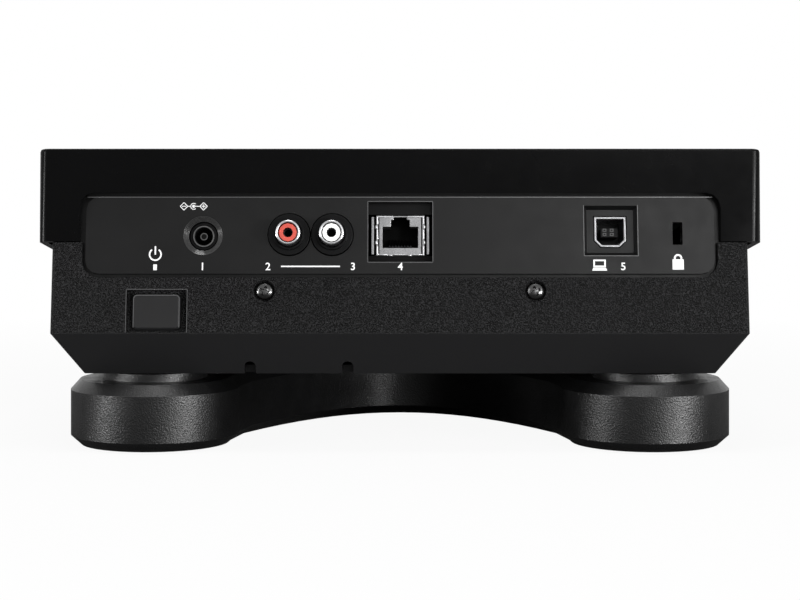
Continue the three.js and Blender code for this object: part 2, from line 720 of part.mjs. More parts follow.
function chassisOutline(inset, rearPlan) {
  const depth = CHASSIS_FRONT + rearPlan - 2 * inset;
  const width = COVER_WIDTH - 2 * CHASSIS_OVERHANG - 2 * inset;
  const radius = CHASSIS_CORNER_RADIUS - Math.min(inset, CHASSIS_CORNER_RADIUS / 2);
  return roundedRectangle(width, depth, radius, 0, (rearPlan - CHASSIS_FRONT) / 2);
}

// The bevel's upper edge falls from the rear to the front
function bevelTop(outline) {
  const rear = rearWallPlan(CHASSIS_BOTTOM_HEIGHT + BEVEL_REAR_HEIGHT);
  const fall = (BEVEL_REAR_HEIGHT - BEVEL_FRONT_HEIGHT) / (rear + CHASSIS_FRONT);
  return outline.map((point) => {
    const height = CHASSIS_BOTTOM_HEIGHT + BEVEL_REAR_HEIGHT - (rear - point.y) * fall;
    return new THREE.Vector3(point.x, point.y, height);
  });
}

function chassisTray() {
  const bevelRear = rearWallPlan(CHASSIS_BOTTOM_HEIGHT + BEVEL_REAR_HEIGHT);
  const wallTop = COVER_HEIGHT - CHASSIS_SKIRT_LAP;
  const topRear = (drop) => drop * Math.sin(TILT) - CHASSIS_REAR_SETBACK * Math.cos(TILT);
  const outer = loft([
    level(chassisOutline(BEVEL_INSET, bevelRear), CHASSIS_BOTTOM_HEIGHT),
    bevelTop(chassisOutline(0, bevelRear)),
    onDeck(chassisOutline(0, topRear(wallTop)), wallTop),
  ]);
  const floorInset = BEVEL_INSET + CHASSIS_WALL / 4;
  const inner = loft([
    level(chassisOutline(floorInset, bevelRear), CHASSIS_BOTTOM_HEIGHT + CHASSIS_FLOOR),
    bevelTop(chassisOutline(CHASSIS_WALL, bevelRear)),
    onDeck(chassisOutline(CHASSIS_WALL, topRear(wallTop - OVERRUN)), wallTop - OVERRUN),
  ]);
  return cut(outer, inner);
}

// Cuts through the chassis's leaning rear wall
function chassisRearCuts() {
  const seam = COVER_HEIGHT + GAP;
  const lap = CHASSIS_SKIRT_LAP + 2 * OVERRUN;
  const reach = CHASSIS_WALL + 2 * OVERRUN;
  const stripDepth = -CHASSIS_REAR_SETBACK - reach / 2;
  const rearStrip = block(COVER_WIDTH, reach + OVERRUN, lap, 0, stripDepth, lap / 2 - seam);
  const panelBottom = PANEL_DROP + PANEL_HEIGHT + PANEL_LOWER_GROOVE;
  const panelCutHeight = PANEL_HEIGHT + PANEL_LOWER_GROOVE;
  const panelCut = rearPrism(
    roundedRectangle(
      PANEL_WIDTH + 2 * PANEL_SIDE_GROOVE,
      panelCutHeight,
      PANEL_CORNER_RADIUS + PANEL_SIDE_GROOVE,
      0,
      panelBottom - panelCutHeight / 2,
    ),
    CHASSIS_WALL_BACK - OVERRUN,
    OVERRUN,
  );
  const recessHeight = POWER_RECESS_BOTTOM_DROP - POWER_RECESS_TOP_DROP;
  const recessMiddle = POWER_RECESS_TOP_DROP + recessHeight / 2;
  const recess = rearPrism(
    roundedRectangle(POWER_RECESS_WIDTH, recessHeight, POWER_CORNER_RADIUS / 2, POWER_SIDE, recessMiddle),
    -CHASSIS_REAR_SETBACK - POWER_RECESS_DEPTH,
    OVERRUN,
  );
  const grow = 2 * BUTTON_CLEARANCE;
  const buttonHole = rearPrism(
    roundedRectangle(
      POWER_WIDTH + grow,
      POWER_HEIGHT + grow,
      POWER_CORNER_RADIUS + BUTTON_CLEARANCE,
      POWER_SIDE,
      POWER_DROP,
    ),
    CHASSIS_WALL_BACK - OVERRUN,
    OVERRUN,
  );
  const screwHoles = [-REAR_SCREW_SIDE, REAR_SCREW_SIDE].flatMap((x) => [
    rearPrism(
      circle(REAR_SCREW_SINK_RADIUS, x, REAR_SCREW_DROP),
      -CHASSIS_REAR_SETBACK - REAR_SCREW_SINK,
      OVERRUN,
    ),
    rearPrism(circle(REAR_SCREW_RADIUS + GAP, x, REAR_SCREW_DROP), CHASSIS_WALL_BACK - OVERRUN, OVERRUN),
  ]);
  return [rearStrip, panelCut, recess, buttonHole, ...screwHoles].map(inDeckFrame);
}

// Arched notches in the lower edge of the rear bevel
function chassisNotches() {
  return NOTCH_PLACES.map((x) => {
    const height = 2 * NOTCH_HEIGHT;
    const outline = roundedRectangle(NOTCH_WIDTH, height, NOTCH_WIDTH / 2.2, x, -CHASSIS_BOTTOM_HEIGHT);
    return rearPrism(outline, CHASSIS_BOTTOM_REAR - NOTCH_DEPTH, BEVEL_INSET);
  });
}

function footCentres() {
  const side = FOOT_SIDE;
  return [
    ["rear_right", side, -FOOT_REAR_INSET],
    ["rear_left", -side, -FOOT_REAR_INSET],
    ["front_left", -side, -FOOT_FRONT_INSET],
    ["front_right", side, -FOOT_FRONT_INSET],
  ];
}

function lowerChassis() {
  const floorTop = CHASSIS_BOTTOM_HEIGHT + CHASSIS_FLOOR;
  const base = CHASSIS_BOTTOM_HEIGHT + CHASSIS_FLOOR / 2;
  const coverPosts = [-COVER_POST_SIDE, COVER_POST_SIDE].flatMap((x) =>
    [-COVER_POST_REAR_INSET, -COVER_DEPTH + COVER_POST_FRONT_INSET].map((y) => {
      const outline = circle(COVER_POST_RADIUS, x, y, ROUND_STEPS / 2);
      return loft([level(outline, base), onDeck(outline, TOP_WALL + GAP)]);
    }),
  );
  const boardPosts = [-IO_POST_SIDE, IO_POST_SIDE].map((x) => {
    const outline = circle(STANDOFF_RADIUS, x, ioPostPlan(), ROUND_STEPS / 2);
    return loft([level(outline, base), onDeck(outline, IO_BOARD_BOTTOM + GAP)]);
  });
  const standoffs = mainBoardCorners().map(([x, y]) => {
    return prism(circle(STANDOFF_RADIUS, x, y, ROUND_STEPS / 2), base, floorTop + STANDOFF_HEIGHT);
  });
  const bosses = footCentres().map(([, x, y]) => {
    return prism(circle(FOOT_BOSS_RADIUS, x, y, ROUND_STEPS / 2), base, floorTop + FOOT_BOSS_HEIGHT);
  });
  const ribOutline = roundedRectangle(SWITCH_RIB_WIDTH, SWITCH_RIB_DEPTH, GAP, POWER_SIDE, switchRibPlan());
  const switchRib = loft([level(ribOutline, base), onDeck(ribOutline, powerSwitchBottom() + GAP)]);
  const pilots = footCentres().map(([, x, y]) => {
    const outline = circle(STAND_SCREW_RADIUS + GAP, x, y, ROUND_STEPS / 2);
    return prism(outline, CHASSIS_BOTTOM_HEIGHT - OVERRUN, floorTop + FOOT_BOSS_HEIGHT - GAP);
  });
  return cut(
    join(chassisTray(), ...coverPosts, ...boardPosts, ...standoffs, ...bosses, switchRib),
    ...chassisRearCuts(),
    ...chassisNotches(),
    ...pilots,
  );
}

function ioPostPlan() {
  return -IO_POST_INSET * Math.cos(TILT) + IO_BOARD_BOTTOM * Math.sin(TILT);
}

function mainBoardCorners() {
  const side = MAIN_BOARD_WIDTH / 2 - STANDOFF_EDGE_INSET;
  const rear = -MAIN_BOARD_REAR_INSET - STANDOFF_EDGE_INSET;
  const front = -MAIN_BOARD_REAR_INSET - MAIN_BOARD_DEPTH + STANDOFF_EDGE_INSET;
  return [
    [-side, rear],
    [side, rear],
    [-side, front],
    [side, front],
  ];
}

// The stand's outline for one quarter: points with the direction that leads into the material
function standQuarter() {
  const footX = FOOT_SIDE;
  const footY = (FOOT_FRONT_INSET - FOOT_REAR_INSET) / 2;
  const apex = footY - REAR_NOTCH_DEPTH;
  const points = [];
  const put = (x, y, inX, inY) => points.push({ x, y, inX, inY });
  const reach = footX - SIDE_NOTCH_WAIST;
  const power = reach * reach + footY * footY - FOOT_RADIUS * FOOT_RADIUS;
  const arcRadius = power / (2 * (reach + FOOT_RADIUS));
  const arcCentre = SIDE_NOTCH_WAIST + arcRadius;
  const touch = Math.atan2(footY, arcCentre - footX);
  const sideSteps = 7;
  for (let step = 0; step < sideSteps; step++) {
    const angle = Math.PI - (touch * step) / sideSteps;
    const x = arcCentre + arcRadius * Math.cos(angle);
    put(x, arcRadius * Math.sin(angle), Math.cos(angle), Math.sin(angle));
  }
  const bend = REAR_NOTCH_END_DROP / (REAR_NOTCH_SPAN * REAR_NOTCH_SPAN);
  const endX = REAR_NOTCH_SPAN;
  const endY = apex + REAR_NOTCH_END_DROP;
  const from = -touch;
  const to = Math.atan2(endY - footY, endX - footX);
  const sweep = 2 * Math.PI + to - from;
  const footSteps = 32;
  for (let step = 0; step < footSteps; step++) {
    const angle = from + (sweep * step) / footSteps;
    const x = footX + FOOT_RADIUS * Math.cos(angle);
    put(x, footY + FOOT_RADIUS * Math.sin(angle), -Math.cos(angle), -Math.sin(angle));
  }
  const notchSteps = 10;
  for (let step = 1; step <= notchSteps; step++) {
    const x = endX * (1 - step / notchSteps);
    const slope = 2 * bend * x;
    const length = Math.hypot(slope, 1);
    put(x, apex + bend * x * x, slope / length, -1 / length);
  }
  return points;
}

function standOutline(inset) {
  const quarter = standQuarter();
  const mirror = (list, sideX, sideY) =>
    list.map(({ x, y, inX, inY }) => ({ x: sideX * x, y: sideY * y, inX: sideX * inX, inY: sideY * inY }));
  const back = [...quarter].reverse();
  const loop = [
    ...quarter,
    ...mirror(back, -1, 1).slice(1),
    ...mirror(quarter, -1, -1).slice(1),
    ...mirror(back, 1, -1).slice(1, -1),
  ];
  return loop.map(({ x, y, inX, inY }) => {
    return new THREE.Vector2(x + inset * inX, STAND_CENTRE + y + inset * inY);
  });
}

function standFrame() {
  const frame = loft([
    level(standOutline(FOOT_LOWER_CHAMFER), FOOT_PAD_LIFT),
    level(standOutline(0), FOOT_PAD_LIFT + FOOT_LOWER_CHAMFER_HEIGHT),
    level(standOutline(0), FOOT_HEIGHT - FOOT_UPPER_CHAMFER_HEIGHT),
    level(standOutline(FOOT_UPPER_CHAMFER), FOOT_HEIGHT),
  ]);
  const centres = footCentres();
  const collars = centres.map(([, x, y]) => {
    return prism(circle(COLLAR_RADIUS, x, y), FOOT_HEIGHT / 2, CHASSIS_BOTTOM_HEIGHT - GAP);
  });
  const holes = centres.flatMap(([, x, y]) => {
    const head = circle(STAND_SCREW_HEAD_RADIUS + GAP, x, y, ROUND_STEPS / 2);
    const shank = circle(STAND_SCREW_RADIUS + GAP, x, y, ROUND_STEPS / 2);
    return [
      prism(circle(PAD_RADIUS + GAP, x, y), -OVERRUN, PAD_THICKNESS + GAP),
      prism(head, -OVERRUN, STAND_SCREW_SEAT_HEIGHT + GAP),
      prism(shank, -OVERRUN, CHASSIS_BOTTOM_HEIGHT + OVERRUN),
    ];
  });
  return cut(join(frame, ...collars), ...holes);
}

function standScrew() {
  const headBottom = STAND_SCREW_SEAT_HEIGHT - STAND_SCREW_HEAD_HEIGHT;
  const tip = CHASSIS_BOTTOM_HEIGHT + CHASSIS_FLOOR + FOOT_BOSS_HEIGHT - GAP - STAND_SCREW_TIP_MARGIN;
  const profile = [
    [0, headBottom],
    [STAND_SCREW_HEAD_RADIUS, headBottom],
    [STAND_SCREW_HEAD_RADIUS, STAND_SCREW_SEAT_HEIGHT],
    [STAND_SCREW_RADIUS, STAND_SCREW_SEAT_HEIGHT],
    [STAND_SCREW_RADIUS, tip],
    [0, tip],
  ];
  return turned(profile, ROUND_STEPS / 2);
}

// The rear panel: a raised plate on a flange that lies behind the chassis wall
function rearPanel() {
  const plateMiddle = PANEL_DROP + PANEL_HEIGHT / 2;
  const plate = rearPrism(
    roundedRectangle(PANEL_WIDTH, PANEL_HEIGHT, PANEL_CORNER_RADIUS, 0, plateMiddle),
    PANEL_BACK,
    PANEL_FACE,
  );
  const flangeTop = PANEL_DROP - PANEL_FLANGE_MARGIN;
  const flangeBottom = PANEL_DROP + PANEL_HEIGHT + PANEL_SCREW_TAB;
  const flange = rearPrism(
    roundedRectangle(
      PANEL_WIDTH + 2 * PANEL_FLANGE_MARGIN,
      PANEL_HEIGHT + 2 * PANEL_FLANGE_MARGIN,
      PANEL_CORNER_RADIUS,
      0,
      flangeTop + PANEL_HEIGHT / 2 + PANEL_FLANGE_MARGIN,
    ),
    PANEL_BACK,
    PANEL_BACK + PANEL_FLANGE,
  );
  const tabWidth = 2 * (REAR_SCREW_SIDE + PANEL_SCREW_TAB);
  const tabHeight = flangeBottom - plateMiddle;
  const tabMiddle = (flangeBottom + plateMiddle) / 2;
  const tab = rearPrism(
    roundedRectangle(tabWidth, tabHeight, PANEL_FLANGE, 0, tabMiddle),
    PANEL_BACK,
    PANEL_BACK + PANEL_FLANGE,
  );
  const back = PANEL_BACK - OVERRUN;
  const funnel = faceRear(
    turned([
      [0, back],
      [INLET_HOLE_RADIUS, back],
      [INLET_HOLE_RADIUS, PANEL_FACE - INLET_FUNNEL_DEPTH],
      [INLET_FUNNEL_RADIUS, PANEL_FACE],
      [INLET_FUNNEL_RADIUS, PANEL_FACE + OVERRUN],
      [0, PANEL_FACE + OVERRUN],
    ]).translate(INLET_SIDE, INLET_DROP, 0),
  );
  const audioHoles = AUDIO_PLACES.map((x) => {
    return rearPrism(circle(AUDIO_RING_RADIUS + GAP, x, AUDIO_DROP), back, OVERRUN);
  });
  const networkHole = rearPrism(
    roundedRectangle(NETWORK_OPENING_WIDTH, NETWORK_OPENING_HEIGHT, GAP, NETWORK_SIDE, NETWORK_OPENING_DROP),
    back,
    OVERRUN,
  );
  const lockHole = rearPrism(
    roundedRectangle(LOCK_WIDTH, LOCK_HEIGHT, GAP, LOCK_SIDE, LOCK_DROP),
    back,
    OVERRUN,
  );
  const screwHoles = [-REAR_SCREW_SIDE, REAR_SCREW_SIDE].map((x) => {
    return rearPrism(circle(REAR_SCREW_RADIUS + GAP, x, REAR_SCREW_DROP, ROUND_STEPS / 2), back, OVERRUN);
  });
  return cut(
    join(plate, flange, tab),
    funnel,
    ...audioHoles,
    networkHole,
    usbBPocket(),
    rearPrism(usbBOutline(-GAP), back, OVERRUN),
    lockHole,
    ...screwHoles,
  );
}

function usbBPocket() {
  const pocket = (inset) => {
    const width = USB_B_POCKET_WIDTH - 2 * inset;
    const height = USB_B_POCKET_HEIGHT - 2 * inset;
    return roundedRectangle(width, height, GAP, USB_B_SIDE, USB_B_POCKET_DROP);
  };
  return faceRear(
    loft([
      level(pocket(USB_B_POCKET_TAPER), PANEL_FACE - USB_B_POCKET_DEPTH),
      level(pocket(0), PANEL_FACE),
      level(pocket(0), PANEL_FACE + OVERRUN),
    ]),
  );
}

// The jack's outline has its two lower corners cut off
function usbBOutline(inset) {
  const halfWidth = USB_B_WIDTH / 2 - inset;
  const halfHeight = USB_B_HEIGHT / 2 - inset;
  const corner = USB_B_CORNER_CUT - inset * (2 - Math.SQRT2);
  return [
    [halfWidth, -halfHeight],
    [halfWidth, halfHeight - corner],
    [halfWidth - corner, halfHeight],
    [corner - halfWidth, halfHeight],
    [-halfWidth, halfHeight - corner],
    [-halfWidth, -halfHeight],
  ].map(([x, y]) => new THREE.Vector2(USB_B_SIDE + x, USB_B_DROP + y));
}

function usbBShell() {
  const face = PANEL_FACE - USB_B_POCKET_DEPTH;
  return cut(
    rearPrism(usbBOutline(0), face - USB_B_DEPTH, face),
    rearPrism(usbBOutline(USB_B_WALL), face - USB_B_DEPTH + USB_B_BACK, face + OVERRUN),
  );
}

function usbBTongue() {
  const face = PANEL_FACE - USB_B_POCKET_DEPTH;
  const back = face - USB_B_DEPTH + USB_B_BACK + GAP;
  const tip = face - USB_B_TONGUE_SETBACK;
  const base = rearPrism(usbBOutline(USB_B_WALL + GAP), back, back + USB_B_TONGUE_BASE);
  const length = tip - back;
  const tongue = block(
    USB_B_TONGUE_WIDTH,
    length,
    USB_B_TONGUE_HEIGHT,
    USB_B_SIDE,
    back + length / 2,
    -USB_B_DROP,
  );
  return join(base, tongue);
}

function lockBracket() {
  const back = PANEL_BACK - GAP - LOCK_PLATE_THICKNESS;
  return cut(
    rearPrism(
      roundedRectangle(LOCK_PLATE_WIDTH, LOCK_PLATE_HEIGHT, PANEL_FLANGE, LOCK_SIDE, LOCK_DROP),
      back,
      PANEL_BACK - GAP,
    ),
    rearPrism(roundedRectangle(LOCK_WIDTH, LOCK_HEIGHT, GAP, LOCK_SIDE, LOCK_DROP), back - OVERRUN, OVERRUN),
  );
}

function powerInlet() {
  const face = PANEL_FACE - INLET_FACE_DEPTH;
  const bodyFront = PANEL_BACK - GAP;
  const bodyHeight = INLET_BODY_RISE + IO_BOARD_TOP - GAP - INLET_DROP;
  const body = block(
    INLET_BODY_WIDTH,
    INLET_BODY_DEPTH,
    bodyHeight,
    INLET_SIDE,
    bodyFront - INLET_BODY_DEPTH / 2,
    INLET_BODY_RISE - INLET_DROP - bodyHeight / 2,
  );
  const collar = rearPrism(circle(INLET_COLLAR_RADIUS, INLET_SIDE, INLET_DROP), bodyFront - GAP, face - GAP);
  const rim = rearPrism(circle(INLET_RIM_RADIUS, INLET_SIDE, INLET_DROP), bodyFront - GAP, face);
  const mouth = circle(INLET_BORE_RADIUS, INLET_SIDE, INLET_DROP);
  const bore = rearPrism(mouth, face - INLET_BORE_DEPTH, OVERRUN);
  const pin = rearPrism(
    circle(INLET_PIN_RADIUS, INLET_SIDE, INLET_DROP, ROUND_STEPS / 2),
    face - INLET_BORE_DEPTH - GAP,
    face - INLET_PIN_SETBACK,
  );
  return join(cut(join(body, collar, rim), bore), pin);
}

function audioBlock() {
  const front = PANEL_BACK - GAP;
  const ringFace = PANEL_FACE + AUDIO_RING_PROUD;
  const half = AUDIO_RING_RADIUS + AUDIO_BLOCK_MARGIN;
  const left = Math.min(...AUDIO_PLACES) - half;
  const right = Math.max(...AUDIO_PLACES) + half;
  const height = AUDIO_BLOCK_RISE + IO_BOARD_TOP - GAP - AUDIO_DROP;
  const body = block(
    right - left,
    AUDIO_BLOCK_DEPTH,
    height,
    (left + right) / 2,
    front - AUDIO_BLOCK_DEPTH / 2,
    AUDIO_BLOCK_RISE - AUDIO_DROP - height / 2,
  );
  const rings = AUDIO_PLACES.flatMap((x) => [
    rearPrism(circle(AUDIO_RING_RADIUS, x, AUDIO_DROP), front - GAP, ringFace),
    rearPrism(circle(AUDIO_HUB_RADIUS, x, AUDIO_DROP), front - GAP, ringFace + AUDIO_HUB_LENGTH),
  ]);
  const seats = AUDIO_PLACES.map((x) => {
    return rearPrism(circle(AUDIO_BARREL_RADIUS + GAP, x, AUDIO_DROP), barrelBack() - GAP, OVERRUN);
  });
  return cut(join(body, ...rings), ...seats);
}

function barrelBack() {
  return PANEL_FACE + AUDIO_RING_PROUD - AUDIO_BARREL_DEPTH;
}

function audioBarrel() {
  const front = PANEL_FACE + AUDIO_RING_PROUD + AUDIO_BARREL_PROUD;
  const back = barrelBack();
  return faceRear(
    turned([
      [AUDIO_BARREL_BORE, back],
      [AUDIO_BARREL_RADIUS, back],
      [AUDIO_BARREL_RADIUS, front - GAP],
      [AUDIO_BARREL_RADIUS - GAP, front],
      [AUDIO_BARREL_BORE, front],
      [AUDIO_BARREL_BORE, back],
    ]),
  );
}

function audioInsulator() {
  const front = PANEL_FACE + AUDIO_RING_PROUD + AUDIO_BARREL_PROUD - AUDIO_INSULATOR_SETBACK;
  const back = barrelBack();
  const floor = back + AUDIO_CONTACT_RADIUS;
  return faceRear(
    turned(
      [
        [0, back],
        [AUDIO_INSULATOR_RADIUS, back],
        [AUDIO_INSULATOR_RADIUS, front],
        [AUDIO_CONTACT_RADIUS, front],
        [AUDIO_CONTACT_RADIUS, floor],
        [0, floor],
      ],
      ROUND_STEPS / 2,
    ),
  );
}

// The plug opening of the network jack: wide below, with the latch's two steps above
function networkPortOutline() {
  const low = NETWORK_HEIGHT / 2 - NETWORK_PORT_LOW_MARGIN;
  const wide = low - NETWORK_PORT_HEIGHT;
  const latch = wide - NETWORK_LATCH_HEIGHT;
  const key = latch - NETWORK_KEY_HEIGHT;
  const half = [NETWORK_PORT_WIDTH / 2, NETWORK_LATCH_WIDTH / 2, NETWORK_KEY_WIDTH / 2];
  const right = [
    [half[0], low],
    [half[0], wide],
    [half[1], wide],
    [half[1], latch],
    [half[2], latch],
    [half[2], key],
  ];
  const left = right.map(([x, y]) => [-x, y]).reverse();
  const points = [...right, ...left].reverse();
  return points.map(([x, y]) => new THREE.Vector2(NETWORK_SIDE + x, NETWORK_DROP + y));
}

function networkShell() {
  const face = PANEL_FACE - NETWORK_SETBACK;
  const shell = block(
    NETWORK_WIDTH,
    NETWORK_DEPTH,
    NETWORK_HEIGHT,
    NETWORK_SIDE,
    face - NETWORK_DEPTH / 2,
    -NETWORK_DROP,
  );
  const springs = [-1, 1].flatMap((side) => {
    const inner = NETWORK_WIDTH / 2 + NETWORK_SPRING_STANDOFF;
    const middle = NETWORK_SIDE + side * (inner + NETWORK_SPRING_THICKNESS / 2);
    const bridgeWidth = NETWORK_SPRING_STANDOFF + NETWORK_SPRING_THICKNESS;
    const bridge = NETWORK_SIDE + side * (NETWORK_WIDTH / 2 + bridgeWidth / 2);
    const bridgeDepth = face - NETWORK_SPRING_LENGTH + NETWORK_SPRING_BRIDGE / 2;
    const leafDepth = face - NETWORK_SPRING_LENGTH / 2;
    const height = NETWORK_SPRING_HEIGHT;
    return [
      block(NETWORK_SPRING_THICKNESS, NETWORK_SPRING_LENGTH, height, middle, leafDepth, -NETWORK_DROP),
      block(bridgeWidth + GAP, NETWORK_SPRING_BRIDGE, height, bridge, bridgeDepth, -NETWORK_DROP),
    ];
  });
  const port = rearPrism(networkPortOutline(), face - NETWORK_PORT_DEPTH, OVERRUN);
  return cut(join(shell, ...springs), port);
}

function networkInsert() {
  const back = PANEL_FACE - NETWORK_SETBACK - NETWORK_PORT_DEPTH + GAP;
  const low = NETWORK_DROP + NETWORK_HEIGHT / 2 - NETWORK_PORT_LOW_MARGIN - GAP;
  return block(
    NETWORK_PORT_WIDTH - 2 * GAP,
    NETWORK_INSERT_DEPTH,
    NETWORK_INSERT_HEIGHT,
    NETWORK_SIDE,
    back + NETWORK_INSERT_DEPTH / 2,
    NETWORK_INSERT_HEIGHT / 2 - low,
  );
}

function rearScrew() {
  const seat = -CHASSIS_REAR_SETBACK - REAR_SCREW_SINK + GAP;
  const top = seat + REAR_SCREW_HEAD_HEIGHT;
  const screw = turned(
    [
      [0, seat - REAR_SCREW_LENGTH],
      [REAR_SCREW_RADIUS, seat - REAR_SCREW_LENGTH],
      [REAR_SCREW_RADIUS, seat],
      [REAR_SCREW_HEAD_RADIUS, seat],
      [REAR_SCREW_HEAD_RADIUS, top - GAP],
      [REAR_SCREW_HEAD_RADIUS - GAP, top],
      [0, top],
    ],
    ROUND_STEPS / 2,
  );
  const depth = 2 * CROSS_DEPTH;
  const arms = [
    block(CROSS_LENGTH, CROSS_WIDTH, depth, 0, 0, top),
    block(CROSS_WIDTH, CROSS_LENGTH, depth, 0, 0, top),
  ];
  return faceRear(cut(screw, ...arms));
}

// Depths of the power button and its switch along the deck, measured from the rear edge
function powerStemEnd() {
  return CHASSIS_WALL_BACK - GAP - BUTTON_FLANGE - POWER_STEM_LENGTH;
}

function powerButton() {
  const face = -CHASSIS_REAR_SETBACK + POWER_PROUD;
  const flangeFront = CHASSIS_WALL_BACK - GAP;
  const flangeBack = flangeFront - BUTTON_FLANGE;
  const plan = (grow) => {
    const corner = POWER_CORNER_RADIUS + grow;
    return roundedRectangle(POWER_WIDTH + 2 * grow, POWER_HEIGHT + 2 * grow, corner);
  };
  const stem = roundedRectangle(POWER_STEM_WIDTH, POWER_STEM_WIDTH, POWER_CORNER_RADIUS);
  return faceRear(
    loft([
      level(stem, powerStemEnd()),
      level(stem, flangeBack),
      level(plan(BUTTON_FLANGE_LIP), flangeBack),
      level(plan(BUTTON_FLANGE_LIP), flangeFront),
      level(plan(0), flangeFront),
      level(plan(0), face - POWER_CHAMFER),
      level(plan(-POWER_CHAMFER), face),
    ]),
  );
}

function powerSwitchBottom() {
  return POWER_DROP + POWER_SWITCH_HEIGHT / 2;
}

function switchRibPlan() {
  const depth = powerStemEnd() - POWER_TRAVEL - GAP - SWITCH_RIB_DEPTH / 2;
  return depth * Math.cos(TILT) + powerSwitchBottom() * Math.sin(TILT);
}

function powerSwitch() {
  const front = powerStemEnd() - POWER_TRAVEL - GAP;
  return block(
    POWER_SWITCH_WIDTH,
    POWER_SWITCH_DEPTH,
    POWER_SWITCH_HEIGHT,
    POWER_SIDE,
    front - POWER_SWITCH_DEPTH / 2,
    -POWER_DROP,
  );
}

function ioBoard() {
  return block(
    IO_BOARD_WIDTH,
    IO_BOARD_DEPTH,
    BOARD_THICKNESS,
    0,
    -IO_BOARD_START - IO_BOARD_DEPTH / 2,
    -(IO_BOARD_TOP + IO_BOARD_BOTTOM) / 2,
  );
}

function mainBoard() {
  const bottom = CHASSIS_BOTTOM_HEIGHT + CHASSIS_FLOOR + STANDOFF_HEIGHT + GAP;
  const middle = -MAIN_BOARD_REAR_INSET - MAIN_BOARD_DEPTH / 2;
  const board = block(
    MAIN_BOARD_WIDTH,
    MAIN_BOARD_DEPTH,
    BOARD_THICKNESS,
    0,
    middle,
    bottom + BOARD_THICKNESS / 2,
  );
  const chips = [-1, 0, 1].map((step) => {
    const height = CHIP_HEIGHT + BOARD_THICKNESS;
    return block(CHIP_SIZE, CHIP_SIZE, height, step * CHIP_SPREAD, middle, bottom + height / 2);
  });
  return join(board, ...chips);
}

function controlBoard() {
  const front = COVER_DEPTH - CONTROL_BOARD_FRONT_INSET;
  const depth = front - CONTROL_BOARD_REAR_INSET;
  const board = block(
    CONTROL_BOARD_WIDTH,
    depth,
    BOARD_THICKNESS,
    0,
    -CONTROL_BOARD_REAR_INSET - depth / 2,
    -(CONTROL_BOARD_TOP + CONTROL_BOARD_BOTTOM) / 2,
  );
  const switches = buttonPlan().map(({ x, inset }) => {
    const height = SWITCH_HEIGHT + GAP;
    return block(SWITCH_SIZE, SWITCH_SIZE, height, x, -inset, height / 2 - CONTROL_BOARD_TOP - GAP);
  });
  const through = (outline) => prism(outline, -CONTROL_BOARD_BOTTOM - OVERRUN, -CONTROL_BOARD_TOP + OVERRUN);
  const faderCut = roundedRectangle(
    FADER_BODY_WIDTH + 2 * CONTROL_BOARD_CUT_MARGIN,
    FADER_BODY_LENGTH + 2 * CONTROL_BOARD_CUT_MARGIN,
    CONTROL_BOARD_CUT_MARGIN,
    COLUMN_SIDE,
    -FADER_INSET,
  );
  return cut(
    join(board, ...switches),
    through(faderCut),
    through(circle(BEARING_RADIUS + CONTROL_BOARD_CUT_MARGIN, 0, -JOG_INSET)),
    through(usbAOutline(CONTROL_BOARD_CUT_MARGIN)),
  );
}

function buttonBody(width, depth, radius, steps) {
  const plan = (grow) => roundedRectangle(width + 2 * grow, depth + 2 * grow, radius + grow, 0, 0, steps);
  const stemRadius = BUTTON_STEM_WIDTH * (radius / Math.min(width, depth));
  const stem = roundedRectangle(BUTTON_STEM_WIDTH, BUTTON_STEM_WIDTH, stemRadius, 0, 0, steps);
  const flangeBottom = FLANGE_TOP + BUTTON_FLANGE;
  return loft([
    level(stem, -STEM_BOTTOM),
    level(stem, -flangeBottom),
    level(plan(BUTTON_FLANGE_LIP), -flangeBottom),
    level(plan(BUTTON_FLANGE_LIP), -FLANGE_TOP),
    level(plan(0), -FLANGE_TOP),
    level(plan(0), BUTTON_RISE - BUTTON_CHAMFER),
    level(plan(-BUTTON_CHAMFER), BUTTON_RISE),
  ]);
}

function displayGlass() {
  return prism(displayOutline(0), -DISPLAY_GLASS, 0);
}

function displayModule() {
  const top = TOP_WALL + GAP;
  return prism(displayOutline(DISPLAY_MODULE_INSET), -top - DISPLAY_MODULE_THICKNESS, -top);
}

function jogPlatter() {
  const web = JOG_HEIGHT - JOG_DISH_DEPTH - JOG_WALL;
  const skirtTop = JOG_LIFT + JOG_SKIRT_HEIGHT;
  const bore = JOG_SHAFT_RADIUS + GAP;
  const boreTop = JOG_SHAFT_TOP + GAP;
  return turned(
    [
      [0, boreTop],
      [bore, boreTop],
      [bore, JOG_LIFT],
      [JOG_HUB_RADIUS, JOG_LIFT],
      [JOG_HUB_RADIUS, web],
      [JOG_TOP_RADIUS - JOG_WALL, web],
      [JOG_RADIUS - JOG_WALL, skirtTop],
      [JOG_RADIUS - JOG_WALL, JOG_LIFT],
      [JOG_RADIUS, JOG_LIFT],
      [JOG_RADIUS, skirtTop],
      [JOG_TOP_RADIUS + JOG_RIM_ROUND, JOG_HEIGHT - JOG_RIM_ROUND],
      [JOG_TOP_RADIUS, JOG_HEIGHT],
      [JOG_DISH_RADIUS + GAP, JOG_HEIGHT],
      [JOG_DISH_RADIUS + GAP, JOG_HEIGHT - JOG_DISH_DEPTH],
      [0, JOG_HEIGHT - JOG_DISH_DEPTH],
    ],
    FINE_STEPS,
  );
}

function jogTopPlate() {
  const bottom = JOG_HEIGHT - JOG_DISH_DEPTH + GAP;
  return prism(circle(JOG_DISH_RADIUS, 0, 0, FINE_STEPS), bottom, bottom + JOG_PLATE_THICKNESS);
}

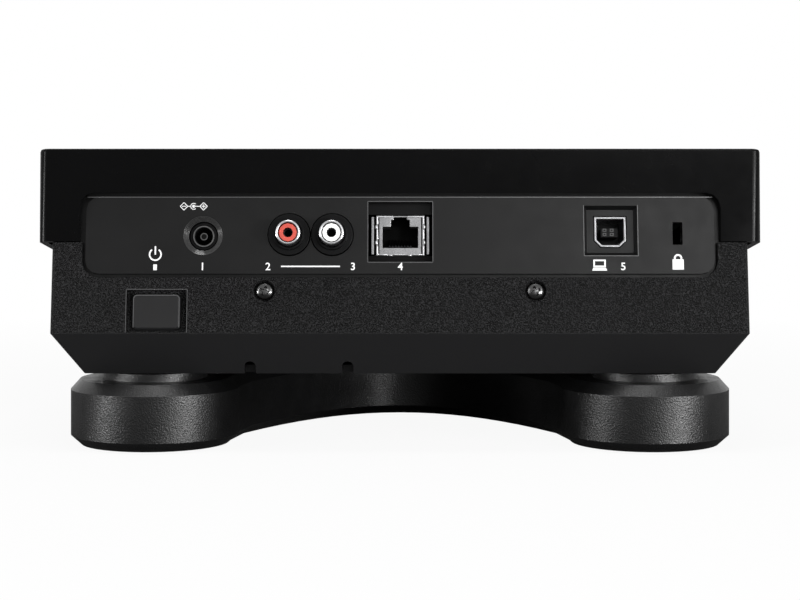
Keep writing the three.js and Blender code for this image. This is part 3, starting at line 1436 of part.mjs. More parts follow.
function jogShaft() {
  const clipTop = -BEARING_BOTTOM - GAP;
  const clipBottom = clipTop - JOG_CLIP_THICKNESS;
  return turned([
    [0, -JOG_SHAFT_BOTTOM],
    [JOG_SHAFT_LOWER_RADIUS, -JOG_SHAFT_BOTTOM],
    [JOG_SHAFT_LOWER_RADIUS, clipBottom],
    [JOG_CLIP_RADIUS, clipBottom],
    [JOG_CLIP_RADIUS, clipTop],
    [JOG_SHAFT_RADIUS, clipTop],
    [JOG_SHAFT_RADIUS, JOG_SHAFT_TOP],
    [0, JOG_SHAFT_TOP],
  ]);
}

function jogBearing() {
  const bore = JOG_SHAFT_RADIUS + GAP;
  const flangeTop = -TOP_WALL - GAP;
  return turned([
    [bore, -BEARING_BOTTOM],
    [BEARING_RADIUS, -BEARING_BOTTOM],
    [BEARING_RADIUS, flangeTop - BEARING_FLANGE_THICKNESS],
    [BEARING_FLANGE_RADIUS, flangeTop - BEARING_FLANGE_THICKNESS],
    [BEARING_FLANGE_RADIUS, flangeTop],
    [BEARING_RADIUS, flangeTop],
    [BEARING_RADIUS, BEARING_TOP],
    [bore, BEARING_TOP],
    [bore, -BEARING_BOTTOM],
  ]);
}

function encoderDisc() {
  const bottom = -ENCODER_DROP - ENCODER_THICKNESS;
  const disc = prism(circle(ENCODER_RADIUS, 0, 0, FINE_STEPS), bottom, -ENCODER_DROP);
  const bore = prism(circle(JOG_SHAFT_LOWER_RADIUS + GAP), bottom - OVERRUN, 0);
  const reach = ENCODER_RADIUS - ENCODER_SLOT_MARGIN - ENCODER_SLOT_LENGTH / 2;
  const slots = Array.from({ length: ENCODER_SLOTS }, (_, step) => {
    const slot = block(ENCODER_SLOT_LENGTH, ENCODER_SLOT_WIDTH, 2 * OVERRUN, reach, 0, -ENCODER_DROP);
    return slot.rotateZ((2 * Math.PI * step) / ENCODER_SLOTS);
  });
  return cut(disc, bore, ...slots);
}

function encoderSensor() {
  const top = -CONTROL_BOARD_BOTTOM - GAP;
  const slotTop = -ENCODER_DROP + SENSOR_CLEARANCE;
  const slotBottom = -ENCODER_DROP - ENCODER_THICKNESS - SENSOR_CLEARANCE;
  const bottom = slotBottom - SENSOR_JAW;
  const inner = ENCODER_RADIUS - SENSOR_REACH;
  const middle = (top + bottom) / 2;
  const whole = block(SENSOR_WIDTH, SENSOR_DEPTH, top - bottom, inner + SENSOR_WIDTH / 2, 0, middle);
  const throat = SENSOR_REACH + SENSOR_CLEARANCE + OVERRUN;
  const slot = block(
    throat,
    SENSOR_DEPTH + OVERRUN,
    slotTop - slotBottom,
    inner - OVERRUN + throat / 2,
    0,
    (slotTop + slotBottom) / 2,
  );
  return cut(whole, slot);
}

function faderBody() {
  const top = -TOP_WALL - GAP;
  const middle = top - FADER_BODY_HEIGHT / 2;
  const body = block(FADER_BODY_WIDTH, FADER_BODY_LENGTH, FADER_BODY_HEIGHT, 0, 0, middle);
  const run = FADER_TRAVEL + FADER_LEVER_LENGTH + 2 * OVERRUN;
  const depth = FADER_CHANNEL_DEPTH + OVERRUN;
  const channel = block(FADER_SLOT_WIDTH, run, depth, 0, 0, top + OVERRUN - depth / 2);
  return cut(body, channel);
}

function faderCap() {
  const plan = (inset) => {
    const width = FADER_CAP_WIDTH - 2 * inset;
    const length = FADER_CAP_LENGTH - 2 * inset;
    return roundedRectangle(width, length, FADER_CAP_RADIUS);
  };
  const lever = roundedRectangle(FADER_LEVER_WIDTH, FADER_LEVER_LENGTH, GAP);
  const top = FADER_CAP_LIFT + FADER_CAP_HEIGHT;
  return loft([
    level(lever, -FADER_LEVER_REACH),
    level(lever, FADER_CAP_LIFT),
    level(plan(0), FADER_CAP_LIFT),
    level(plan(0), FADER_CAP_LIFT + FADER_CAP_TAPER),
    level(plan(FADER_CAP_TAPER), top),
  ]);
}

function selectorKnob() {
  const top = SELECTOR_LIFT + SELECTOR_HEIGHT;
  return turned([
    [0, -SELECTOR_SHAFT_REACH],
    [SELECTOR_SHAFT_RADIUS, -SELECTOR_SHAFT_REACH],
    [SELECTOR_SHAFT_RADIUS, SELECTOR_LIFT],
    [SELECTOR_RADIUS, SELECTOR_LIFT],
    [SELECTOR_RADIUS, SELECTOR_LIFT + SELECTOR_EDGE],
    [SELECTOR_TOP_RADIUS, top - SELECTOR_EDGE],
    [SELECTOR_TOP_RADIUS - SELECTOR_EDGE, top],
    [0, top],
  ]);
}

function selectorPlunger() {
  const top = -SELECTOR_SHAFT_REACH - GAP;
  const bottom = SELECTOR_FLOOR + SELECTOR_PUSH + 2 * GAP - CONTROL_BOARD_TOP;
  return prism(circle(SELECTOR_PLUNGER_RADIUS, 0, 0, ROUND_STEPS / 2), bottom, top);
}

function selectorEncoder() {
  const bottom = -CONTROL_BOARD_TOP + GAP;
  const height = -SELECTOR_BODY_TOP - bottom;
  const body = block(SELECTOR_BODY_WIDTH, SELECTOR_BODY_WIDTH, height, 0, 0, bottom + height / 2);
  return cut(body, prism(circle(SELECTOR_SHAFT_RADIUS + GAP), bottom + SELECTOR_FLOOR, 0));
}

// The socket's mouth is in the deck's top, and its tongue stands on its floor
function usbASocket() {
  const shell = prism(usbAOutline(0), -USB_A_SINK - USB_A_DEPTH, -USB_A_SINK);
  const floor = -USB_A_SINK - USB_A_DEPTH + USB_A_FLOOR;
  const mouthHeight = OVERRUN - floor;
  const mouthWidth = USB_A_WIDTH - 2 * USB_A_WALL;
  const mouthDepth = USB_A_HEIGHT - 2 * USB_A_WALL;
  const middle = floor + mouthHeight / 2;
  const mouth = block(mouthWidth, mouthDepth, mouthHeight, -COLUMN_SIDE, -USB_A_INSET, middle);
  const tongueTop = -USB_A_SINK - USB_A_TONGUE_SETBACK;
  const tongueHeight = tongueTop - floor + USB_A_FLOOR / 2;
  const tongue = block(
    mouthWidth - 2 * USB_A_TONGUE_SIDE_GAP,
    USB_A_TONGUE_THICKNESS,
    tongueHeight,
    -COLUMN_SIDE,
    -USB_A_INSET + USB_A_TONGUE_OFFSET,
    tongueTop - tongueHeight / 2,
  );
  return join(cut(shell, mouth), tongue);
}

// Assembly of the housing and the stand, on the level
add(device, "top_cover", topCover(), finishes.gloss());
add(device, "lower_chassis", lowerChassis(), finishes.grain());
add(device, "main_board", mainBoard(), finishes.board());
add(device, "stand_frame", standFrame(), finishes.stand());
for (const [place, x, y] of footCentres()) {
  add(device, `foot_pad_${place}`, prism(circle(PAD_RADIUS), 0, PAD_THICKNESS), finishes.rubber(), x, y);
  add(device, `stand_screw_${place}`, standScrew(), finishes.dark(), x, y);
}

// Assembly of the rear, in the leaning deck's frame
add(deck, "rear_panel", rearPanel(), finishes.panel());
add(deck, "power_button", powerButton(), finishes.button(), POWER_SIDE, 0, -POWER_DROP);
add(deck, "power_switch", powerSwitch(), finishes.black());
add(deck, "power_inlet", powerInlet(), finishes.black());
add(deck, "audio_jack_block", audioBlock(), finishes.black());
["right", "left"].forEach((channel, place) => {
  const x = AUDIO_PLACES[place];
  const tint = channel === "right" ? finishes.red() : finishes.white();
  add(deck, `audio_barrel_${channel}`, audioBarrel(), finishes.steel(), x, 0, -AUDIO_DROP);
  add(deck, `audio_insulator_${channel}`, audioInsulator(), tint, x, 0, -AUDIO_DROP);
});
add(deck, "network_jack_shell", networkShell(), finishes.steel());
add(deck, "network_jack_insert", networkInsert(), finishes.black());
add(deck, "usb_b_shell", usbBShell(), finishes.steel());
add(deck, "usb_b_tongue", usbBTongue(), finishes.black());
add(deck, "lock_bracket", lockBracket(), finishes.steel());
for (const [place, side] of [["right", 1], ["left", -1]]) {
  const x = side * REAR_SCREW_SIDE;
  add(deck, `rear_screw_${place}`, rearScrew(), finishes.dark(), x, 0, -REAR_SCREW_DROP);
}
add(deck, "connector_board", ioBoard(), finishes.board());

// Assembly of the deck's top, in its own frame
add(deck, "control_board", controlBoard(), finishes.board());
add(deck, "display_glass", displayGlass(), finishes.glass());
add(deck, "display_module", displayModule(), finishes.dark());
add(deck, "jog_platter", jogPlatter(), finishes.platter(), 0, -JOG_INSET);
add(deck, "jog_top_plate", jogTopPlate(), finishes.dark(), 0, -JOG_INSET);
add(deck, "jog_shaft", jogShaft(), finishes.steel(), 0, -JOG_INSET);
add(deck, "jog_bearing", jogBearing(), finishes.dark(), 0, -JOG_INSET);
add(deck, "encoder_disc", encoderDisc(), finishes.dark(), 0, -JOG_INSET);
add(deck, "encoder_sensor", encoderSensor(), finishes.black(), 0, -JOG_INSET);
add(deck, "fader_body", faderBody(), finishes.dark(), COLUMN_SIDE, -FADER_INSET);
add(deck, "fader_cap", faderCap(), finishes.black(), COLUMN_SIDE, -FADER_INSET);
add(deck, "selector_knob", selectorKnob(), finishes.black(), COLUMN_SIDE, -SELECTOR_INSET);
add(deck, "selector_plunger", selectorPlunger(), finishes.white(), COLUMN_SIDE, -SELECTOR_INSET);
add(deck, "selector_encoder", selectorEncoder(), finishes.dark(), COLUMN_SIDE, -SELECTOR_INSET);
add(deck, "usb_a_socket", usbASocket(), finishes.steel());
for (const { name, x, inset, width, depth, radius, steps } of buttonPlan()) {
  add(deck, name, buttonBody(width, depth, radius, steps), finishes.button(), x, -inset);
}

export default device;
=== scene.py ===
"""The looks of the DJ deck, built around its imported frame.

Lengths are in metres, in the frame's axes, unless a comment says mm.
"""

import itertools
import json
import math

import bmesh
import bpy
from mathutils import Matrix, Vector


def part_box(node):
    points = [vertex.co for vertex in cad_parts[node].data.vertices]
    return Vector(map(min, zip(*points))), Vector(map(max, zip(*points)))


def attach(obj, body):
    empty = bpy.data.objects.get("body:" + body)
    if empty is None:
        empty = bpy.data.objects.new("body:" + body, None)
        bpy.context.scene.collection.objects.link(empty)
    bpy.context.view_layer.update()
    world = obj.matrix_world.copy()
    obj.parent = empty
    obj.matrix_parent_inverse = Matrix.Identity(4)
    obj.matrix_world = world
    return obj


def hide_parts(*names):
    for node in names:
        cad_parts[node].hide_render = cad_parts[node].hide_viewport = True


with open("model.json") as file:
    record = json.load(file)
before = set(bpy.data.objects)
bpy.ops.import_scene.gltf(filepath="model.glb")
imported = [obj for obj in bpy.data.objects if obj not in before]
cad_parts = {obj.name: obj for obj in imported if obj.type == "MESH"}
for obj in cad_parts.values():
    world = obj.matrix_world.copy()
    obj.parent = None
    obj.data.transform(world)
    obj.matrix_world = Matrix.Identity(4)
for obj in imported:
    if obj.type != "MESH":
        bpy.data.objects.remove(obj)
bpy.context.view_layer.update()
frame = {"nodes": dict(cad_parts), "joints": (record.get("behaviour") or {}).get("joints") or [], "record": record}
MM = 0.001

# The deck leans, so its places are given in its own axes: x to the right, y to the rear,
# z up out of its top
JOINTS = {joint["name"]: joint for joint in frame["joints"]}
BACK = Vector(JOINTS["tempo_slide"]["axis"]).normalized()
UP = Vector(JOINTS["jog_spin"]["axis"]).normalized()
JOG_INSET = 196 * MM
DECK_ORIGIN = Vector(JOINTS["jog_spin"]["pos_m"]) + BACK * JOG_INSET
DECK = Matrix((
    (1, BACK.x, UP.x, DECK_ORIGIN.x),
    (0, BACK.y, UP.y, DECK_ORIGIN.y),
    (0, BACK.z, UP.z, DECK_ORIGIN.z),
    (0, 0, 0, 1),
))
TO_DECK = DECK.inverted()

# The photograph: its frame, the eye's place in it and how far the eye is
IMAGE_WIDTH = 800
IMAGE_HEIGHT = 600
HORIZON_ROW = 180
LENS = 81
SENSOR = 36
EYE_HEIGHT = 90.0 * MM
EYE_FROM_REAR_EDGE = 594.9 * MM

# Small shared sizes
PRINT_LIFT = 0.03 * MM
PRINT_THICKNESS = 0.02 * MM
STROKE = 0.32 * MM
ROUND_STEPS = 48
FINE_STEPS = 96
NOISE_RANGE = (0.3, 0.7)
BOX_FACES = ((0, 1, 3, 2), (4, 6, 7, 5), (0, 4, 5, 1), (2, 3, 7, 6), (0, 2, 6, 4), (1, 5, 7, 3))


def link(name, data):
    """A new object in the scene, for a mesh, a camera or a lamp."""
    holder = bpy.data.objects.new(name, data)
    bpy.context.scene.collection.objects.link(holder)
    return holder


def deck_box(node):
    """Lowest and highest corner of a CAD node in the deck's own axes."""
    points = [TO_DECK @ vertex.co for vertex in frame["nodes"][node].data.vertices]
    low = Vector(min(p[axis] for p in points) for axis in range(3))
    high = Vector(max(p[axis] for p in points) for axis in range(3))
    return low, high


def deck_centre(node):
    low, high = deck_box(node)
    return (low + high) / 2


# Materials: each has its own node tree, and its even values are set on the shader itself
def node_material(name, colour, roughness, metallic=0.0, specular=0.5, coat=0.0):
    material = bpy.data.materials.new(name)
    material.use_nodes = True
    shader = material.node_tree.nodes["Principled BSDF"]
    shader.inputs["Base Color"].default_value = (*colour, 1)
    shader.inputs["Roughness"].default_value = roughness
    shader.inputs["Metallic"].default_value = metallic
    shader.inputs["Specular IOR Level"].default_value = specular
    shader.inputs["Coat Weight"].default_value = coat
    return material, material.node_tree, shader


def texture_place(tree, stretch=(1, 1, 1)):
    """Texture coordinates in the frame's metres, stretched for brushed or ribbed marks."""
    coordinate = tree.nodes.new("ShaderNodeTexCoord")
    mapping = tree.nodes.new("ShaderNodeMapping")
    mapping.inputs["Scale"].default_value = stretch
    tree.links.new(coordinate.outputs["Object"], mapping.inputs["Vector"])
    return mapping.outputs["Vector"]


def noise(tree, place, grain, detail=4.0):
    texture = tree.nodes.new("ShaderNodeTexNoise")
    texture.inputs["Scale"].default_value = 1 / grain
    texture.inputs["Detail"].default_value = detail
    tree.links.new(place, texture.inputs["Vector"])
    return texture.outputs["Fac"]


def map_range(tree, value, source, target=(0, 1)):
    """Maps one range onto another, and holds the value at the ends."""
    ramp = tree.nodes.new("ShaderNodeMapRange")
    for name, ends in (("From", source), ("To", target)):
        ramp.inputs[f"{name} Min"].default_value = ends[0]
        ramp.inputs[f"{name} Max"].default_value = ends[1]
    tree.links.new(value, ramp.inputs["Value"])
    return ramp.outputs["Result"]


def spread(tree, value, low, high):
    """Maps a noise texture's usual values onto a range."""
    return map_range(tree, value, NOISE_RANGE, (low, high))


def shades(tree, share, colour, low, high):
    """A colour that goes with a share from one multiple of itself to another."""
    mix = tree.nodes.new("ShaderNodeMix")
    mix.data_type = "RGBA"
    mix.inputs["A"].default_value = (*(channel * low for channel in colour), 1)
    mix.inputs["B"].default_value = (*(channel * high for channel in colour), 1)
    tree.links.new(share, mix.inputs["Factor"])
    return mix.outputs["Result"]


def tint(tree, shader, value, colour, share):
    """Varies the base colour by a share either way with a texture's value."""
    tone = shades(tree, spread(tree, value, 0, 1), colour, 1 - share, 1 + share)
    tree.links.new(tone, shader.inputs["Base Color"])


def bump(tree, shader, value, depth, strength=1.0):
    node = tree.nodes.new("ShaderNodeBump")
    node.inputs["Distance"].default_value = depth
    node.inputs["Strength"].default_value = strength
    tree.links.new(value, node.inputs["Height"])
    tree.links.new(node.outputs["Normal"], shader.inputs["Normal"])


def moulded(name, colour, roughness, grain, depth, specular=0.5, variation=0.12):
    """Moulded plastic: fine even grain in mm, with slow changes of sheen and tone."""
    material, tree, shader = node_material(name, colour, roughness, specular=specular)
    place = texture_place(tree)
    tone_grain, sheen_grain, sheen = 30 * MM, 6 * MM, 0.04
    tint(tree, shader, noise(tree, place, tone_grain, 2), colour, variation)
    rough = spread(tree, noise(tree, place, sheen_grain), roughness - sheen, roughness + sheen)
    tree.links.new(rough, shader.inputs["Roughness"])
    bump(tree, shader, noise(tree, place, grain * MM), depth * MM)
    return material


def calculation(tree, operation, *values):
    """A math node on some values, each a socket or a number."""
    node = tree.nodes.new("ShaderNodeMath")
    node.operation = operation
    for value, socket in zip(values, node.inputs):
        if isinstance(value, (int, float)):
            socket.default_value = value
        else:
            tree.links.new(value, socket)
    return node.outputs["Value"]


def bevel_line():
    """Height and slope of the line between the chassis' grained walls and the bevel under them."""
    points = [vertex.co for vertex in frame["nodes"]["lower_chassis"].data.vertices]
    side = max(point.x for point in points) - 0.05 * MM
    front, rear = (
        min((p for p in points if p.x > side and p.y * end > 0), key=lambda p: p.z)
        for end in (-1, 1)
    )
    slope = (rear.z - front.z) / (rear.y - front.y)
    return front.z - slope * front.y, slope


def leather_grained(name, colour, roughness, grain, depth, specular):
    """Moulded plastic with a pebbled grain in mm on its walls, and a smooth, paler bevel. The pebbles' hollows
    carry painted shade and their tops painted highlights.
    """
    material, tree, shader = node_material(name, colour, roughness, specular=specular)
    pebble_hollow_shade, pebble_top_highlight, bevel_tone, contrast, wall_roughness = 0.1, 3.6, 1.9, 1.6, 0.1
    place = texture_place(tree)
    pebble = spread(tree, noise(tree, place, grain * MM, 1), -0.35, 1.35)
    height, slope = bevel_line()
    parts = tree.nodes.new("ShaderNodeSeparateXYZ")
    tree.links.new(place, parts.inputs["Vector"])
    rise = calculation(tree, "MULTIPLY", parts.outputs["Y"], slope)
    level = calculation(tree, "SUBTRACT", parts.outputs["Z"], rise)
    wall = map_range(tree, level, (height, height + 0.5 * MM))
    strength = calculation(tree, "POWER", pebble, contrast)
    # Painted shade in the pebbles' hollows and painted highlights on their tops, by the grain's height
    pebble_shade_and_highlight = shades(tree, strength, colour, pebble_hollow_shade, pebble_top_highlight)
    whole = shades(tree, wall, colour, bevel_tone, 1)
    tree.links.new(pebble_shade_and_highlight, whole.node.inputs["B"])
    tree.links.new(whole, shader.inputs["Base Color"])
    rough = calculation(tree, "MULTIPLY_ADD", wall, wall_roughness, roughness)
    tree.links.new(rough, shader.inputs["Roughness"])
    bump(tree, shader, calculation(tree, "MULTIPLY", pebble, wall), depth * MM)
    return material


def metal(name, colour, roughness, grain=0.4, stretch=(1, 1, 1)):
    """Plated or turned metal: fine marks in mm along one direction, and changes of polish."""
    material, tree, shader = node_material(name, colour, roughness, metallic=1.0)
    place = texture_place(tree, stretch)
    tint(tree, shader, noise(tree, texture_place(tree), 4 * MM, 2), colour, 0.08)
    rough = spread(tree, noise(tree, place, grain * MM), roughness * 0.7, roughness * 1.3)
    tree.links.new(rough, shader.inputs["Roughness"])
    bump(tree, shader, noise(tree, place, grain * MM), 0.004 * MM, 0.6)
    return material


def glass(name, colour):
    """A dark display's cover glass with faint smudges."""
    material, tree, shader = node_material(name, colour, 0.06, specular=0.4, coat=0.3)
    place = texture_place(tree)
    rough = spread(tree, noise(tree, place, 18 * MM), 0.03, 0.09)
    tree.links.new(rough, shader.inputs["Roughness"])
    tint(tree, shader, noise(tree, place, 40 * MM, 1), colour, 0.2)
    return material


def circuit_board(name, colour):
    material, tree, shader = node_material(name, colour, 0.35)
    place = texture_place(tree)
    tint(tree, shader, noise(tree, place, 3 * MM, 6), colour, 0.35)
    bump(tree, shader, noise(tree, place, 0.6 * MM, 2), 0.02 * MM)
    return material


def lamp_window(name, colour, glow):
    """A lit diffuser: slightly uneven, like a moulded light guide."""
    material, tree, shader = node_material(name, colour, 0.4)
    shader.inputs["Emission Color"].default_value = (*colour, 1)
    uneven = spread(tree, noise(tree, texture_place(tree), 3 * MM), glow * 0.8, glow * 1.2)
    tree.links.new(uneven, shader.inputs["Emission Strength"])
    return material


# Colour, roughness, the grain's size and depth in mm, specular level, change of tone
MOULDED = {
    "gloss_housing": ((0.0012, 0.0012, 0.0013), 0.24, 0.25, 0.001, 0.045),
    "panel": ((0.0052, 0.0052, 0.0053), 0.34, 0.22, 0.002, 0.14),
    "stand": ((0.0028, 0.0028, 0.0029), 0.32, 0.5, 0.15, 0.34, 0.2),
    "pad_rubber": ((0.010, 0.010, 0.010), 0.85, 0.5, 0.03, 0.1),
    "black_plastic": ((0.0035, 0.0035, 0.0037), 0.36, 0.3, 0.003, 0.07),
    "key_plastic": ((0.0085, 0.0085, 0.0088), 0.42, 0.25, 0.003, 0.2),
    "red_plastic": ((0.46, 0.06, 0.04), 0.3, 0.3, 0.002, 0.5, 0.06),
    "white_plastic": ((0.86, 0.86, 0.84), 0.3, 0.3, 0.002, 0.5, 0.03),
    "platter": ((0.014, 0.014, 0.015), 0.35, 0.3, 0.004, 0.4),
    "contact": ((0.05, 0.05, 0.05), 0.4, 0.3, 0.002, 0.3),
    # pale paint for the painted highlights along fine edges
    "moulded_edge": ((0.045, 0.045, 0.046), 0.3, 0.3, 0.002, 0.5),
    "funnel": ((0.006, 0.006, 0.006), 0.2, 0.3, 0.001, 1.0),
    "print": ((0.72, 0.72, 0.72), 0.55, 0.15, 0.002, 0.3, 0.04),
    # Painted shade: near black and matte, for bores, wells, gaps and dimples, darker than the black plastic lining
    # some of them
    "cavity": ((0.002, 0.002, 0.002), 0.8, 0.3, 0.002, 0.1),
}
# Colour, roughness, the marks' size in mm, their stretch
METALS = {
    "plated_metal": ((0.46, 0.46, 0.47), 0.26),
    "jack_plate": ((0.22, 0.22, 0.225), 0.32),
    "usb_plate": ((0.2, 0.2, 0.205), 0.32),
    "steel": ((0.5, 0.5, 0.52), 0.3, 0.3, (1, 1, 8)),
    "dark_metal": ((0.03, 0.03, 0.032), 0.32, 0.3),
    "rim_metal": ((0.11, 0.11, 0.11), 0.3, 0.3),
    "screw_metal": ((0.08, 0.08, 0.08), 0.22, 0.3),
}
# Colour and glow
LIGHTS = {
    "green_light": ((0.05, 0.7, 0.15), 0.9),
    "amber_light": ((0.9, 0.35, 0.03), 0.9),
    "blue_light": ((0.06, 0.25, 0.85), 0.8),
}
MATERIALS = {
    name: make(name, *values)
    for make, table in ((moulded, MOULDED), (metal, METALS), (lamp_window, LIGHTS))
    for name, values in table.items()
}
# The grained housing's pebbles carry painted shade and painted highlights in their colour
MATERIALS["grained_housing"] = leather_grained(
    "grained_housing", (0.0050, 0.0050, 0.0052), 0.34, 0.45, 0.3, 0.11)
MATERIALS["board"] = circuit_board("board", (0.01, 0.07, 0.03))
MATERIALS["display_glass"] = glass("display_glass", (0.002, 0.0022, 0.0028))


# Softening of CAD nodes: their meshes stay, and modifiers round their edges
def smoothing_group(limit):
    """Geometry nodes that shade smooth, apart from edges sharper than a limit in degrees."""
    group = bpy.data.node_groups.new(f"smooth_by_{limit}_degrees", "GeometryNodeTree")
    group.interface.new_socket("Geometry", in_out="INPUT", socket_type="NodeSocketGeometry")
    group.interface.new_socket("Geometry", in_out="OUTPUT", socket_type="NodeSocketGeometry")
    start = group.nodes.new("NodeGroupInput")
    end = group.nodes.new("NodeGroupOutput")
    faces = group.nodes.new("GeometryNodeSetShadeSmooth")
    faces.inputs["Shade Smooth"].default_value = True
    edges = group.nodes.new("GeometryNodeSetShadeSmooth")
    edges.domain = "EDGE"
    edges.inputs["Shade Smooth"].default_value = False
    angle = group.nodes.new("GeometryNodeInputMeshEdgeAngle")
    compare = group.nodes.new("FunctionNodeCompare")
    compare.operation = "GREATER_THAN"
    compare.inputs["B"].default_value = math.radians(limit)
    group.links.new(start.outputs[0], faces.inputs["Geometry"])
    group.links.new(faces.outputs["Geometry"], edges.inputs["Geometry"])
    group.links.new(angle.outputs["Unsigned Angle"], compare.inputs["A"])
    group.links.new(compare.outputs["Result"], edges.inputs["Selection"])
    group.links.new(edges.outputs["Geometry"], end.inputs[0])
    return group


# Rounding of the CAD nodes' edges, in mm
ROUNDING = {
    "top_cover": 0.35, "lower_chassis": 0.35, "rear_panel": 0.2, "stand_frame": 0.3,
    "power_button": 0.3, "audio_jack_block": 0.25, "audio_barrel_left": 0.2,
    "audio_barrel_right": 0.2, "usb_b_shell": 0.12, "network_jack_shell": 0.12,
    "rear_screw_left": 0.12, "rear_screw_right": 0.12, "power_inlet": 0.15,
    "fader_cap": 0.6, "selector_knob": 0.3, "jog_platter": 0.5, "display_glass": 0.15,
}
KEY_ROUNDING = 0.25
SHARP = 34
SHARP_ON_STAND = 22
SMOOTHING = {limit: smoothing_group(limit) for limit in (SHARP, SHARP_ON_STAND)}


def soften(piece, width=0.0, segments=2, angle=SHARP):
    """Rounds the edges sharper than an angle, shades the rest smooth and keeps flat faces flat."""
    weld = piece.modifiers.new("weld", "WELD")
    weld.merge_threshold = 0.002 * MM
    if width:
        rounding = piece.modifiers.new("rounding", "BEVEL")
        rounding.width = width
        rounding.segments = segments
        rounding.limit_method = "ANGLE"
        rounding.angle_limit = math.radians(angle)
        rounding.use_clamp_overlap = True
        rounding.miter_outer = "MITER_ARC"
    shading = piece.modifiers.new("shading", "NODES")
    shading.node_group = SMOOTHING[angle]
    normals = piece.modifiers.new("normals", "WEIGHTED_NORMAL")
    normals.keep_sharp = True


def paint(piece, material):
    piece.data.materials.clear()
    piece.data.materials.append(MATERIALS[material])


def dress_frame():
    """Gives every CAD node its record slot's material and its edge rounding."""
    for row in frame["record"]["subparts"]:
        node, slot = row["node"], row["material_slot"]
        paint(frame["nodes"][node], slot)
        width = ROUNDING.get(node, KEY_ROUNDING if slot == "key_plastic" else 0)
        angle = SHARP_ON_STAND if node == "stand_frame" else SHARP
        soften(frame["nodes"][node], width * MM, angle=angle)
    paint(frame["nodes"]["network_jack_shell"], "jack_plate")
    paint(frame["nodes"]["usb_b_shell"], "usb_plate")


# Building of pieces in the deck's own axes
def add_piece(name, mesh, material, body):
    piece = link(name, mesh)
    piece.matrix_world = DECK
    paint(piece, material)
    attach(piece, body)
    return piece


def mesh_from(build, name):
    data = bmesh.new()
    build(data)
    bmesh.ops.recalc_face_normals(data, faces=data.faces)
    mesh = bpy.data.meshes.new(name)
    data.to_mesh(mesh)
    data.free()
    return mesh


def ring_points(radius, steps=ROUND_STEPS):
    angles = (2 * math.pi * step / steps for step in range(steps))
    return [(radius * math.cos(angle), radius * math.sin(angle)) for angle in angles]


def turned(data, profile, centre, steps):
    """A turned shape through (radius, height) points, about an axis that faces the rear."""
    def place(x, y, z):
        return Vector((centre.x + x, z, centre.z - y))

    rings = []
    for radius, height in profile:
        if radius == 0:
            rings.append([data.verts.new(place(0, 0, height))])
        else:
            points = ring_points(radius, steps)
            rings.append([data.verts.new(place(x, y, height)) for x, y in points])
    for lower, upper in zip(rings, rings[1:]):
        for step in range(steps):
            corners = [
                lower[step % len(lower)], lower[(step + 1) % len(lower)],
                upper[(step + 1) % len(upper)], upper[step % len(upper)],
            ]
            unique = list(dict.fromkeys(corners))
            if len(unique) > 2:
                data.faces.new(unique)


def add_box(data, corners):
    """Six faces between eight corners, which count up in three directions like binary digits."""
    for face in BOX_FACES:
        data.faces.new([corners[index] for index in face])


def cuboid(data, low, high):
    """A box between two corners in the deck's axes."""
    ends = zip(low, high)
    add_box(data, [data.verts.new(corner) for corner in itertools.product(*ends)])


def slab(data, outline, face, thickness, plane):
    """A thin flat print: an outline in a plane that faces the rear or up, with a thickness."""
    def place(u, v, w):
        return Vector((u, w, v)) if plane == "rear" else Vector((u, v, w))

    lower = [data.verts.new(place(u, v, face)) for u, v in outline]
    upper = [data.verts.new(place(u, v, face + thickness)) for u, v in outline]
    count = len(outline)
    data.faces.new(lower)
    data.faces.new(upper)
    for step in range(count):
        after = (step + 1) % count
        data.faces.new([lower[step], lower[after], upper[after], upper[step]])


def stroke_outline(start, end, width):
    (x0, y0), (x1, y1) = start, end
    length = math.hypot(x1 - x0, y1 - y0)
    nx, ny = (y0 - y1) / length * width / 2, (x1 - x0) / length * width / 2
    return [(x0 + nx, y0 + ny), (x0 - nx, y0 - ny), (x1 - nx, y1 - ny), (x1 + nx, y1 + ny)]


def box_outline(centre, half, rise):
    x, y = centre
    return [(x - half, y - rise), (x + half, y - rise), (x + half, y + rise), (x - half, y + rise)]


def at_angle(centre, radius, angle):
    return centre[0] + radius * math.cos(angle), centre[1] + radius * math.sin(angle)


